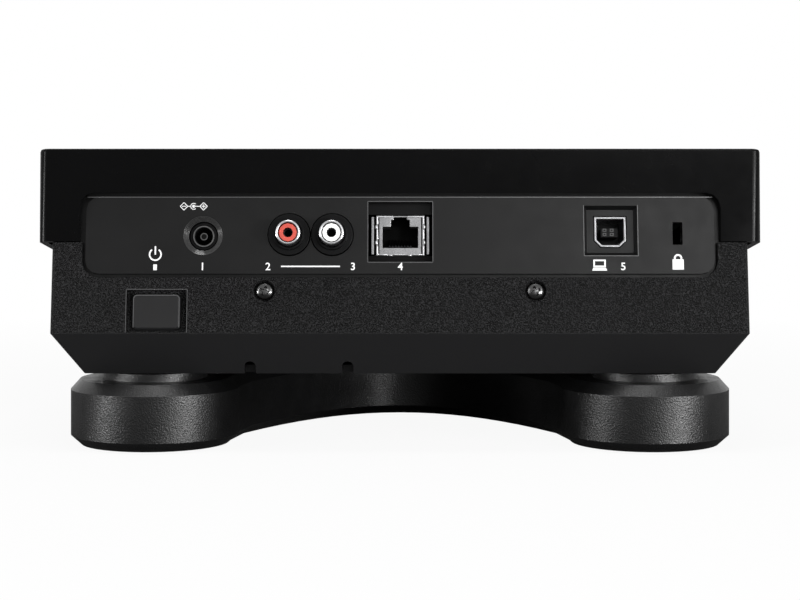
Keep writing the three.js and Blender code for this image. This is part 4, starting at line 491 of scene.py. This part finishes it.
class Print:
    """Printed marks on one plane, gathered into one mesh."""

    def __init__(self, plane, face):
        self.plane = plane
        self.face = face + PRINT_LIFT
        self.data = bmesh.new()

    def line(self, start, end, width=STROKE):
        slab(self.data, stroke_outline(start, end, width), self.face, PRINT_THICKNESS, self.plane)

    def polygon(self, outline):
        slab(self.data, outline, self.face, PRINT_THICKNESS, self.plane)

    def path(self, points, width=STROKE):
        for start, end in zip(points, points[1:]):
            self.line(start, end, width)

    def arc(self, centre, radius, start, sweep, width=STROKE, steps=24):
        """A curved stroke, with its angles in degrees from the right."""
        inner, outer = radius - width / 2, radius + width / 2
        for step in range(steps):
            first = math.radians(start + sweep * step / steps)
            last = math.radians(start + sweep * (step + 1) / steps)
            corners = [(inner, first), (outer, first), (outer, last), (inner, last)]
            self.polygon([at_angle(centre, radius, angle) for radius, angle in corners])

    def border(self, centre, half, rise, width):
        outline = box_outline(centre, half, rise)
        self.path([*outline, outline[0]], width)

    def uprights(self, places, middle, half, width):
        """Upright strokes at some places from left to right."""
        for place in places:
            self.line((place, middle - half), (place, middle + half), width)

    def disc(self, centre, radius):
        self.polygon([(centre[0] + x, centre[1] + y) for x, y in ring_points(radius, 24)])

    def numeral(self, text, centre, height, mirror=1):
        """A plain number. mirror is -1 where the plane is read from behind."""
        curve = bpy.data.curves.new("numeral", "FONT")
        curve.body = text
        curve.offset = 0.012
        curve.extrude = 0.5
        holder = bpy.data.objects.new("numeral", curve)
        glyph = bpy.data.meshes.new_from_object(holder)
        low = [min(vertex.co[axis] for vertex in glyph.vertices) for axis in (0, 1)]
        high = [max(vertex.co[axis] for vertex in glyph.vertices) for axis in (0, 1)]
        scale = height / (high[1] - low[1])
        for vertex in glyph.vertices:
            u = centre[0] + mirror * (vertex.co.x - (low[0] + high[0]) / 2) * scale
            v = centre[1] + (vertex.co.y - (low[1] + high[1]) / 2) * scale
            w = self.face + (vertex.co.z + 0.5) * PRINT_THICKNESS
            vertex.co = (u, w, v) if self.plane == "rear" else (u, v, w)
        self.data.from_mesh(glyph)
        bpy.data.objects.remove(holder)
        bpy.data.curves.remove(curve)
        bpy.data.meshes.remove(glyph)

    def piece(self, name, material="print", body="housing", slot=None):
        bmesh.ops.recalc_face_normals(self.data, faces=self.data.faces)
        mesh = bpy.data.meshes.new(name)
        self.data.to_mesh(mesh)
        self.data.free()
        return add_piece(name, mesh, material, body)


# The rear: prints on the panel and the chassis, and the insides of the connectors
LABEL_DROP = 38.75 * MM
LABEL_HEIGHT = 2.5 * MM
INLET_DROP = 28.5 * MM
READ_FROM_BEHIND = -1


def panel_prints():
    """Numbers in the places of the connectors' words, and the plain signs beside them."""
    marks = Print("rear", deck_box("rear_panel")[1].y)
    inlet, right, left, network, usb, lock, button = (deck_centre(node).x for node in (
        "power_inlet", "audio_barrel_right", "audio_barrel_left", "network_jack_shell",
        "usb_b_shell", "lock_bracket", "power_button"))
    level = -LABEL_DROP
    audio_gap, line_gap, usb_gap = 6.9 * MM, 2.6 * MM, 3.9 * MM
    places = (inlet, right + audio_gap, left - audio_gap, network, usb - usb_gap)
    for number, place in zip("12345", places):
        marks.numeral(number, (place, level), LABEL_HEIGHT, READ_FROM_BEHIND)
    marks.line((right + line_gap, level), (left - line_gap, level), 0.45 * MM)
    laptop_mark(marks, (usb + usb_gap, level + 0.35 * MM))
    padlock_mark(marks, (lock, -38.1 * MM))
    polarity_mark(marks, (inlet + 3.2 * MM, -18.75 * MM))
    power_sign(marks, (button + 0.75 * MM, -34.8 * MM))
    marks.piece("panel_prints")


def laptop_mark(marks, centre):
    """An open laptop: a framed screen above a base that widens downward."""
    x, y = centre
    half, rise, bar = 2.05 * MM, 1.25 * MM, 0.5 * MM
    middle = y + 0.65 * MM
    for side in (-1, 1):
        marks.polygon(box_outline((x + side * (half - bar / 2), middle), bar / 2, rise))
    marks.polygon(box_outline((x, middle + rise - bar / 2), half - bar, bar / 2))
    marks.polygon(box_outline((x, middle - rise + bar / 2), half - bar, bar / 2))
    base, foot = y - 1.75 * MM, 2.5 * MM
    head = base + MM
    marks.polygon([(x - foot, base), (x + foot, base), (x + half, head), (x - half, head)])


def padlock_mark(marks, centre):
    x, y = centre
    half, rise = 1.85 * MM, 1.7 * MM
    marks.polygon(box_outline(centre, half, rise))
    marks.arc((x, y + rise + 0.35 * MM), 1.1 * MM, -20, 220, 0.6 * MM, 16)


def polarity_mark(marks, centre):
    """The common sign of a round plug with its pin positive."""
    x, y = centre
    gap, reach, radius, stroke = 3.25 * MM, 1.25 * MM, 1.0 * MM, 0.25 * MM
    for side in (-1, 1):
        middle = x + side * gap
        left, right = (middle - reach, y), (middle + reach, y)
        marks.path([left, (middle, y + reach), right, (middle, y - reach), left], stroke)
        marks.line((middle - 0.5 * reach, y), (middle + 0.5 * reach, y), stroke)
    marks.uprights((x - gap,), y, 0.5 * reach, stroke)
    marks.line((x, y), (x - gap + reach, y), stroke)
    marks.line((x + radius, y), (x + gap - reach, y), stroke)
    marks.arc((x, y), radius, -130, 260, stroke)
    marks.disc((x, y), 0.5 * MM)


def power_sign(marks, centre):
    """The power sign, with the bar of its lamp under it."""
    x, y = centre
    marks.arc((x, y), 1.9 * MM, 125, 290, 0.5 * MM)
    marks.polygon(box_outline((x, y + 1.35 * MM), 0.25 * MM, 1.4 * MM))
    marks.polygon(box_outline((x, y - 4.25 * MM), 0.6 * MM, 0.95 * MM))


def turned_piece(name, profile, centre, face, material, steps=ROUND_STEPS):
    """A turned piece that faces the rear, from (radius, height over a face) points in mm."""
    points = [(radius * MM, face + height * MM) for radius, height in profile]
    mesh = mesh_from(lambda data: turned(data, points, centre, steps), name)
    soften(add_piece(name, mesh, material, "housing"))


def boxes_piece(name, boxes, material):
    """Several boxes in one piece, each from its lowest and highest corner in the deck's axes."""
    def build(data):
        for low, high in boxes:
            cuboid(data, low, high)

    return add_piece(name, mesh_from(build, name), material, "housing")


def inlet_parts():
    """The power inlet's lighter rim, its hollow pin and its bore; the bore's inside and the pin's hole are painted
    dark with shade.
    """
    face = deck_box("power_inlet")[1].y
    centre = Vector((deck_centre("power_inlet").x, 0, -INLET_DROP))
    funnel_ridges(centre)
    turned_piece("inlet_rim", [
        (3.0, -0.3), (3.02, 0.06), (3.15, 0.2), (3.5, 0.2), (3.68, 0.04), (3.68, -0.1),
    ], centre, face, "rim_metal")
    turned_piece("inlet_shaded_bore", [
        (2.93, -0.35), (2.93, -8.5), (1.4, -8.5),
    ], centre, face, "cavity")
    turned_piece("inlet_pin", [
        (1.3, -8.4), (1.3, -0.95), (1.2, -0.8), (0.95, -0.8), (0.85, -0.95),
    ], centre, face, "rim_metal", 24)
    turned_piece("inlet_pin_shade", [(0.87, -0.93), (0, -0.93)], centre, face, "cavity")


def funnel_ridges(centre):
    """The turned rings inside the inlet's funnel, each a small round ridge, ever deeper."""
    count, turns, ridge = 5, 5, 0.17
    profile = []
    for step in range(count):
        share = step / (count - 1)
        radius, depth = 6.4 - 1.35 * share, 0.3 + 1.7 * share
        for turn in range(turns + 1):
            angle = math.pi * turn / turns
            profile.append(at_angle((radius, -depth), ridge, angle))
    panel = deck_box("rear_panel")[1].y
    turned_piece("inlet_funnel", profile, centre, panel, "funnel", FINE_STEPS)


def audio_contacts():
    """The bore of each audio jack, painted dark with shade, and the sprung contact deep inside it."""
    for side in ("right", "left"):
        centre = deck_centre(f"audio_insulator_{side}")
        front = deck_box(f"audio_insulator_{side}")[1].y
        turned_piece(f"audio_shaded_bore_{side}", [
            (1.63, -0.3), (1.6, -0.4), (1.6, -6), (0, -6),
        ], centre, front, "cavity")
        turned_piece(f"audio_contact_{side}", [
            (1.55, -3), (1.55, -5.8), (1.3, -5.8), (1.3, -3), (1.55, -3),
        ], centre, front, "dark_metal")


def network_places():
    """The middle of the network jack's face and its plug opening's stepped outline."""
    low, high = deck_box("network_jack_shell")
    middle = Vector(((low.x + high.x) / 2, high.y, (low.z + high.z) / 2))
    floor = deck_box("network_jack_insert")[0].z - 0.3 * MM
    steps = [(5.95, 0), (5.95, 7.1), (3.15, 7.1), (3.15, 9.4), (2.2, 9.4), (2.2, 10.3)]
    steps += [(-x, z) for x, z in reversed(steps)]
    return middle, [(middle.x + x * MM, floor + z * MM) for x, z in steps]


def network_liner():
    """The black plastic inside the plug opening, painted darker with shade, and eight dark sprung wires inside it.
    """
    middle, outline = network_places()
    front, back = middle.y - 0.45 * MM, middle.y - 10 * MM
    centre = (middle.x, sum(z for _, z in outline) / len(outline))
    fit = 0.992

    def liner(data):
        loop = [[c + (place - c) * fit for c, place in zip(centre, point)] for point in outline]
        near, far = ([data.verts.new((x, y, z)) for x, z in loop] for y in (front, back))
        for step in range(len(loop)):
            after = (step + 1) % len(loop)
            data.faces.new([near[step], near[after], far[after], far[step]])
        data.faces.new(far)

    floor = min(z for _, z in outline)
    count, pitch, half, thickness = 8, 1.02 * MM, 0.2 * MM, 0.3 * MM

    def wires(data):
        for step in range(count):
            x = middle.x + (step - (count - 1) / 2) * pitch
            ends = [(back, floor + 3.4 * MM), (middle.y - 4 * MM, floor + 0.8 * MM)]
            corners = [
                data.verts.new((x + side * half, y, z + lift))
                for side in (-1, 1) for y, z in ends for lift in (0, thickness)
            ]
            add_box(data, corners)

    for name, build, material, slot in (
        ("network_liner", liner, "cavity", "black_plastic"),
        ("network_contacts", wires, "dark_metal", "plated_metal"),
    ):
        add_piece(name, mesh_from(build, name), material, "housing")


def network_frame():
    """The folded rim of the network jack's shell and its locking tabs, with painted shade in the seams between and
    painted shadows beside it.
    """
    middle = network_places()[0]
    rim, seams, shadows = [], [], []
    half, rise, wide = 8.0, 6.65, 0.6
    face = middle.y - 0.05 * MM

    def plate(group, x0, x1, z0, z1, high=0.3, low=0):
        """A box on the shell's face, from places in mm about its middle."""
        x0, x1 = sorted((x0, x1))
        group.append((
            (middle.x + x0 * MM, face + low * MM, middle.z + z0 * MM),
            (middle.x + x1 * MM, face + high * MM, middle.z + z1 * MM),
        ))

    for side in (-1, 1):
        inner = side * (half - wide)
        for top, bottom in ((rise, 3.75), (1.95, -1.3), (-3.5, -rise)):
            plate(rim, inner, side * half, bottom, top)
        for place in (2.85, -2.4):
            plate(rim, side * (half - 0.35), side * (half + 0.3), place - 0.6, place + 0.6)
        plate(rim, side * 2.45, side * (half - 0.3), rise - wide, rise)
        plate(rim, side * 4.3, side * (half - 0.5), -rise, -rise + 0.45)
        plate(rim, side * 2.7, side * 3.75, -rise - 0.25, -rise + 0.3)
        plate(seams, inner - side * 0.45, inner, -rise + 0.5, rise - wide, 0.2)
        plate(seams, side * 3.2, side * 6.0, 2.45, 2.65, 0.07)
        plate(shadows, side * (half + 0.05), side * (half + 0.75), -6.2, 6.2, -0.9, -4.2)
    plate(rim, -2.1, 2.1, -rise, -rise + 0.45)
    soften(boxes_piece("network_rim", rim, "plated_metal"), 0.12 * MM)
    boxes_piece("network_seam_shade", seams, "cavity")
    boxes_piece("network_spring_shadows", shadows, "cavity")


def network_surround():
    """The dark plates behind the opening's upper and lower part, on the rear panel's back: black plastic above,
    painted shade below.
    """
    middle = network_places()[0].x
    half, back = 11 * MM, -8.42 * MM
    for name, material, depth, bottom, top in (
        ("network_hood", "black_plastic", 0.6, -21.1, -16.4),
        ("network_shaded_sill", "cavity", 0.5, -38.1, -34.95),
    ):
        low = (middle - half, back - depth * MM, bottom * MM)
        high = (middle + half, back, top * MM)
        boxes_piece(name, [(low, high)], material)


def edge_highlight_strips(x, drop, width, height, face, sides, stroke):
    """Thin strips of painted highlight along some sides of a rectangle that faces the rear, in mm but for x."""
    stroke, lift = stroke * MM, 0.05 * MM
    left, right = x - width / 2 * MM, x + width / 2 * MM
    bottom, top = (height / -2 - drop) * MM, (height / 2 - drop) * MM
    spans = {
        "top": (left, right, top - stroke, top), "bottom": (left, right, bottom, bottom + stroke),
        "left": (left, left + stroke, bottom, top), "right": (right - stroke, right, bottom, top),
    }
    boxes = []
    for side in sides:
        x0, x1, z0, z1 = spans[side]
        boxes.append(((x0, face - lift, z0), (x1, face + lift, z1)))
    return boxes


def painted_edge_highlights():
    """Painted highlights: pale strips along the fine edges of the panel, its pockets and the button, paler than
    the faces beside them.
    """
    panel = deck_box("rear_panel")[1].y
    wall = panel + 0.5 * MM
    network, usb = deck_centre("network_jack_shell").x, deck_centre("usb_b_shell").x
    button = deck_centre("power_button").x
    around = ("top", "bottom", "left", "right")
    highlight_boxes = edge_highlight_strips(network, 27.25, 21.8, 20.5, panel, around, 0.25)
    highlight_boxes += edge_highlight_strips(usb, 26.85, 18.1, 17.0, panel, ("left", "right", "bottom"), 0.22)
    highlight_boxes += edge_highlight_strips(0, 28.35, 207.4, 25.6, panel, ("top",), 0.3)
    boxes_piece("panel_edge_highlights", highlight_boxes, "moulded_edge")
    recess = edge_highlight_strips(button, 53.4, 20.3, 14.3, wall, ("top", "left", "right"), 0.22)
    boxes_piece("power_recess_lips", recess, "moulded_edge")
    # The button's rim: a painted highlight drawn as pale strokes
    rim = Print("rear", deck_box("power_button")[1].y)
    half, top, bottom, radius, stroke = 7.5 * MM, -48.33 * MM, -58.9 * MM, 1.2 * MM, 0.3 * MM
    corner = top - radius
    rim.line((button - half + radius, top), (button + half - radius, top), stroke)
    for side in (-1, 1):
        rim.line((button + side * half, corner), (button + side * half, bottom), stroke)
        centre = (button + side * (half - radius), corner)
        rim.arc(centre, radius, 90, -side * 90, stroke, 8)
    rim.piece("power_button_rim", "moulded_edge", "power", "key_plastic")


def usb_b_contacts():
    """Four contacts that show as small squares on the square jack's tongue, in wells painted dark with shade."""
    tip = deck_box("usb_b_tongue")[1].y
    centre = deck_centre("usb_b_shell")
    half, rise = 0.62 * MM, 0.5 * MM
    pads, wells = [], []
    for side in (-1, 1):
        for step in (-1, 1):
            x = centre.x + 0.35 * MM + step * 1.2 * MM
            z = centre.z + 0.15 * MM + side * 0.72 * MM
            for group, width, height, proud in (
                (pads, half, rise, 0.06 * MM), (wells, half - 0.3 * MM, rise - 0.28 * MM, 0.1 * MM),
            ):
                low = (x - width, tip - 4 * MM, z - height)
                group.append((low, (x + width, tip + proud, z + height)))
    boxes_piece("usb_b_contacts", pads, "contact")
    boxes_piece("usb_b_contact_shade", wells, "cavity")


SCREW_RADIUS = 2.88 * MM
SCREW_RINGS = 26


def screw_height(x, z, turn):
    """How high a domed cross-head screw stands over its rim at a place on its head."""
    share = min(1.0, math.hypot(x, z) / SCREW_RADIUS)
    dome = 0.95 * MM * (1 - share ** 2.6)
    u = x * math.cos(turn) + z * math.sin(turn)
    v = z * math.cos(turn) - x * math.sin(turn)
    along, across = max(abs(u), abs(v)), min(abs(u), abs(v))
    wall = min(1.0, max(0.0, (0.42 * MM - across) / (0.12 * MM)))
    run = min(1.0, max(0.0, (1.65 * MM - along) / (0.5 * MM)))
    return dome - 1.1 * MM * wall * run


def rear_screws():
    """Domed cross-head screws in place of the plain ones."""
    radii = [SCREW_RADIUS * step / SCREW_RINGS for step in range(1, SCREW_RINGS + 1)]
    angles = [2 * math.pi * step / FINE_STEPS for step in range(FINE_STEPS)]
    for node, turn in (("rear_screw_left", 1.2), ("rear_screw_right", 0.35)):
        low, high = deck_box(node)
        centre = deck_centre(node)
        rim = high.y - 0.95 * MM
        neck, shank = rim - 0.15 * MM, 1.4 * MM

        def build(data):
            def place(radius, angle):
                x, z = at_angle((0, 0), radius, angle)
                return data.verts.new((centre.x + x, rim + screw_height(x, z, turn), centre.z + z))

            rings = [[place(radius, angle) for angle in angles] for radius in radii]
            middle = place(0, 0)
            for step in range(FINE_STEPS):
                after = (step + 1) % FINE_STEPS
                data.faces.new([middle, rings[0][step], rings[0][after]])
                for inner, outer in zip(rings, rings[1:]):
                    data.faces.new([inner[step], outer[step], outer[after], inner[after]])
            profile = [(SCREW_RADIUS, rim), (SCREW_RADIUS, neck), (shank, neck), (shank, low.y)]
            turned(data, [*profile, (0, low.y)], centre, FINE_STEPS)

        mesh = mesh_from(build, node)
        piece = add_piece(f"{node}_head", mesh, "screw_metal", "housing")
        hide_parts(node)
        soften(piece)


# The top: legends, lamps and marks that a deck's user reads
def top_prints():
    """The fader's scale, the selector's arrows and the frame around the socket."""
    marks = Print("up", 0)
    x, y, _ = deck_centre("fader_body")
    low, high = JOINTS["tempo_slide"]["range_m"]
    for step in range(-6, 7):
        level = y + step * (high - low) / 12
        length = 3.2 * MM if step % 3 == 0 else 1.8 * MM
        for side in (-1, 1):
            start = x + side * 11.6 * MM
            marks.line((start, level), (start + side * length, level), 0.25 * MM)
    sign, end, half = x + 14 * MM, 38 * MM, 2.2 * MM
    for level in (y + end, y - end):
        marks.line((sign - half, level), (sign + half, level))
    marks.uprights((sign,), y - end, half, STROKE)
    x, y, _ = deck_centre("selector_knob")
    radius = 16.5 * MM
    for side in (-1, 1):
        marks.arc((x, y), radius, 90 - side * 25, -side * 50, 0.3 * MM)
        u, v = at_angle((x, y), radius, math.radians(90 - side * 75))
        base, tip = v + 0.6 * MM, v - 1.4 * MM
        marks.polygon([(u + side * MM, base), (u - side * MM, base), (u + side * 0.2 * MM, tip)])
    marks.border(deck_centre("usb_a_socket")[:2], 9.5 * MM, 5.5 * MM, 0.25 * MM)
    marks.piece("top_prints")


def key_marks(node, draw, kind="legend", material="print"):
    """Marks that ride on a key's top. draw adds them around the key's middle."""
    marks = Print("up", deck_box(node)[1].z)
    draw(marks, *deck_centre(node)[:2])
    marks.piece(node.replace("button", kind), material, node.replace("button", "key"))


def arrows(side, count, bar):
    """Triangles that point back or forward, with a bar in front for whole tracks."""
    def draw(marks, x, y):
        size = 1.5 * MM
        reach = count * size
        for step in range(count):
            base = x + side * (2 * step * size - reach)
            tip = base + side * 1.8 * size
            marks.polygon([(base, y - size), (base, y + size), (tip, y)])
        if bar:
            marks.uprights((x + side * (reach + 0.4 * MM),), y, size, 0.5 * MM)

    return draw


def bars(count):
    def draw(marks, x, y):
        places = [x + (step - (count - 1) / 2) * 2 * MM for step in range(count)]
        marks.uprights(places, y, 1.3 * MM, 0.5 * MM)

    return draw


def play_sign(marks, x, y):
    size, left = 2.6 * MM, x - 4 * MM
    marks.polygon([(left, y - size), (left, y + size), (left + 1.7 * size, y)])
    marks.uprights((x + 2.2 * MM, x + 4.2 * MM), y, size, 0.9 * MM)


def back_sign(marks, x, y):
    radius, stroke = 1.6 * MM, 0.45 * MM
    marks.arc((x, y), radius, -90, 180, stroke, 12)
    marks.line((x, y + radius), (x - radius, y + radius), stroke)
    base = x - 1.4 * MM
    marks.polygon([(base, y + 0.7 * MM), (base, y + 2.5 * MM), (x - 3 * MM, y + radius)])


def menu_sign(marks, x, y):
    for step in (-1, 0, 1):
        level = y + step * 1.3 * MM
        marks.line((x - 2 * MM, level), (x + 2 * MM, level), 0.45 * MM)


def key_legends():
    """Signs and lamps on the keys: numbers on the pads, arrows and bars on the others."""
    def stop_sign(marks, x, y):
        marks.polygon(box_outline((x, y), 1.3 * MM, 1.3 * MM))

    def cue_sign(marks, x, y):
        marks.disc((x, y), 1.5 * MM)

    def pad_lamp(marks, x, y):
        marks.polygon(box_outline((x + 2.5 * MM, y), 3 * MM, 0.6 * MM))

    def ring_lamp(marks, x, y):
        marks.arc((x, y), 11.2 * MM, 0, 360, 0.9 * MM, ROUND_STEPS)

    for number in "1234":
        def pad_number(marks, x, y):
            marks.numeral(number, (x - 4 * MM, y), 3 * MM)

        key_marks(f"pad_button_{number}", pad_number)
        key_marks(f"pad_button_{number}", pad_lamp, "lamp", "blue_light")
    ring_lights = {"play": "green_light", "cue": "amber_light"}
    for node, draw in (
        ("track_back", arrows(-1, 1, True)), ("track_forward", arrows(1, 1, True)),
        ("search_back", arrows(-1, 2, False)), ("search_forward", arrows(1, 2, False)),
        ("play", play_sign), ("cue", cue_sign), ("sync", bars(2)), ("master_tempo", bars(1)),
        ("tempo_range", bars(3)), ("back", back_sign), ("menu", menu_sign), ("usb_stop", stop_sign),
    ):
        key_marks(f"{node}_button", draw)
        if node in ring_lights:
            key_marks(f"{node}_button", ring_lamp, "lamp", ring_lights[node])


def fader_line():
    """The white index line across the fader's cap."""
    low, high = deck_box("fader_cap")
    centre = deck_centre("fader_cap")
    half = (high.x - low.x) / 2 - 2.2 * MM
    marks = Print("up", high.z)
    marks.line((centre.x - half, centre.y), (centre.x + half, centre.y), 0.8 * MM)
    marks.piece("fader_line", "print", "fader")


def display_bezel():
    """The lit area's edge under the glass, as a faint frame."""
    low, high = deck_box("display_glass")
    middle, inset = (low + high) / 2, 7 * MM
    half, rise = high.x - middle.x - inset, high.y - middle.y - inset
    marks = Print("up", high.z - PRINT_LIFT)
    marks.border(middle[:2], half, rise, 0.2 * MM)
    marks.piece("display_bezel", "dark_metal")


def jog_marks():
    """Fine rings on the jog wheel's plate, dimples for a finger on its rim, drawn as flat discs of painted shade,
    and one index line.
    """
    x, y, _ = deck_centre("jog_platter")
    rings = Print("up", deck_box("jog_top_plate")[1].z - PRINT_LIFT)
    for radius in range(16, 61, 5):
        rings.arc((x, y), radius * MM, 0, 360, 0.22 * MM, 72)
    rings.piece("jog_rings", "black_plastic", "jog_wheel", "platter")
    top = deck_box("jog_platter")[1].z
    dimples = Print("up", top - PRINT_LIFT)
    dimple_count, dimple_ring = 30, 63.1 * MM
    for step in range(dimple_count):
        angle = 2 * math.pi * (step + 0.5) / dimple_count
        dimples.disc(at_angle((x, y), dimple_ring, angle), 1.5 * MM)
    dimples.piece("jog_dimple_shade", "cavity", "jog_wheel", "platter")
    index = Print("up", top)
    index.line((x, y + 61 * MM), (x, y + 65 * MM), 0.9 * MM)
    index.piece("jog_index", "print", "jog_wheel")


def selector_grip():
    """The ribs round the selector knob's side."""
    high = deck_box("selector_knob")[1].z
    x, y, _ = deck_centre("selector_knob")
    count, half, root, crest = 36, 0.35 * MM, -0.6 * MM, 0.12 * MM
    ends = ((high - 5.9 * MM, 12.62 * MM), (high - 1.0 * MM, 11.42 * MM))

    def build(data):
        for step in range(count):
            turn = 2 * math.pi * step / count
            along = Vector((math.cos(turn), math.sin(turn), 0))
            across = Vector((-math.sin(turn), math.cos(turn), 0))
            corners = []
            for height, radius in ends:
                for depth, width in ((root, half), (crest, 0.5 * half)):
                    for side in (-1, 1):
                        place = along * (radius + depth) + across * side * width
                        corners.append(data.verts.new(place + Vector((x, y, height))))
            add_box(data, corners)

    mesh = mesh_from(build, "selector_grip")
    add_piece("selector_grip", mesh, "key_plastic", "selector_turn")
    index = Print("up", high)
    index.line((x, y + 6 * MM), (x, y + 9.5 * MM), 0.7 * MM)
    index.piece("selector_index", "print", "selector_turn")


# The stage
def camera():
    data = bpy.data.cameras.new("camera")
    data.lens = LENS
    data.sensor_width = SENSOR
    data.shift_y = (HORIZON_ROW - IMAGE_HEIGHT / 2) / IMAGE_WIDTH
    data.clip_start = 0.01
    data.clip_end = 50
    eye = link("camera", data)
    rear_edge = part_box("top_cover")[1].y
    eye.location = (0, rear_edge + EYE_FROM_REAR_EDGE, EYE_HEIGHT)
    eye.rotation_euler = (math.pi / 2, 0, math.pi)
    bpy.context.scene.camera = eye


def lamp(name, azimuth, distance, height, size, light):
    """A soft box that aims at the deck's rear.

    azimuth turns from straight behind the deck to its left, as the photo's eye sees it, in
    degrees. light is what a surface there gets when it faces the lamp, in watts for each square
    metre.
    """
    turn = math.radians(azimuth)
    rear = Vector((0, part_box("top_cover")[1].y, 0))
    aim = rear + Vector((0, 0, 0.05))
    place = rear + Vector((distance * math.sin(turn), distance * math.cos(turn), height))
    data = bpy.data.lights.new(name, "AREA")
    data.shape = "RECTANGLE"
    data.size, data.size_y = size
    data.energy = light * math.pi * (place - aim).length_squared
    holder = link(name, data)
    holder.location = place
    holder.rotation_euler = (aim - place).to_track_quat("-Z", "Y").to_euler()


def mixed(tree, share, first, second):
    """Mixes two shaders by a share."""
    mix = tree.nodes.new("ShaderNodeMixShader")
    tree.links.new(share, mix.inputs["Fac"])
    tree.links.new(first, mix.inputs[1])
    tree.links.new(second, mix.inputs[2])
    return mix.outputs["Shader"]


def ray_share(tree, first, *others):
    """One for a ray of any of some kinds, else zero."""
    path = tree.nodes.new("ShaderNodeLightPath")
    share = path.outputs[first]
    for kind in others:
        share = calculation(tree, "MAXIMUM", share, path.outputs[kind])
    return share


def world_light(strength):
    """A dim white world that the camera and reflections see as white."""
    world = bpy.data.worlds.new("studio")
    bpy.context.scene.world = world
    world.use_nodes = True
    tree = world.node_tree
    dim, white = tree.nodes["Background"], tree.nodes.new("ShaderNodeBackground")
    for background, light in ((dim, strength), (white, 1)):
        background.inputs["Color"].default_value = (1, 1, 1, 1)
        background.inputs["Strength"].default_value = light
    seen = ray_share(tree, "Is Camera Ray", "Is Glossy Ray", "Is Transmission Ray")
    shown = mixed(tree, seen, dim.outputs[0], white.outputs[0])
    tree.links.new(shown, tree.nodes["World Output"].inputs["Surface"])


def away_from_deck(tree, near, far, near_share):
    """A share that grows with the distance from the deck's middle, up to one."""
    place = tree.nodes.new("ShaderNodeTexCoord")
    away = tree.nodes.new("ShaderNodeVectorMath")
    away.operation = "LENGTH"
    tree.links.new(place.outputs["Object"], away.inputs[0])
    return map_range(tree, away.outputs["Value"], (near, far), (near_share, 1))


def floor():
    """A pale floor: white to the camera but for the deck's shadow, and in far reflections; near the deck,
    reflections see it dark, a painted shade.
    """
    reach = 6.0
    mesh = bpy.data.meshes.new("floor")
    corners = [(x, y, 0) for x, y in box_outline((0, 0), reach, reach)]
    mesh.from_pydata(corners, [], [(0, 1, 2, 3)])
    piece = link("floor", mesh)
    material, tree, shader = node_material("floor", (0.9, 0.9, 0.9), 0.9, specular=0)
    pale = shader.outputs["BSDF"]
    # Painted shade: near the deck, reflections see a dark floor in place of the pale one
    near_deck_reflection_shade = tree.nodes.new("ShaderNodeBsdfDiffuse")
    near_deck_reflection_shade.inputs["Color"].default_value = (0.2, 0.2, 0.2, 1)
    white = tree.nodes.new("ShaderNodeEmission").outputs["Emission"]
    to_camera = mixed(tree, away_from_deck(tree, 0.16, 0.5, 0.93), pale, white)
    mirrored = mixed(tree, away_from_deck(tree, 0.4, 1.2, 0.0), near_deck_reflection_shade.outputs["BSDF"], white)
    reflected = ray_share(tree, "Is Glossy Ray", "Is Transmission Ray")
    shown = mixed(tree, reflected, pale, mirrored)
    shown = mixed(tree, ray_share(tree, "Is Camera Ray"), shown, to_camera)
    tree.links.new(shown, tree.nodes["Material Output"].inputs["Surface"])
    mesh.materials.append(material)


def studio():
    scene = bpy.context.scene
    scene.view_settings.view_transform = "Standard"
    world_light(0.25)
    floor()
    lamp("left_strip", 66, 0.9, 0.055, (0.16, 0.11), 1.4)
    lamp("right_box", -49, 1.0, 0.055, (0.2, 0.11), 2.5)
    lamp("right_low", -33, 1.0, 0.045, (0.12, 0.09), 0.8)
    lamp("front_box", -15, 1.1, 0.38, (0.3, 0.3), 0.5)
    lamp("left_tall", 55, 0.9, 0.33, (0.1, 0.3), 0.4)
    lamp("right_tall", -55, 0.9, 0.33, (0.1, 0.3), 0.3)
    lamp("top_box", 0, 0.14, 1.2, (0.5, 0.25), 1.1)


dress_frame()
panel_prints()
inlet_parts()
audio_contacts()
network_liner()
network_frame()
network_surround()
painted_edge_highlights()
usb_b_contacts()
rear_screws()
top_prints()
key_legends()
fader_line()
display_bezel()
jog_marks()
selector_grip()
camera()
studio()
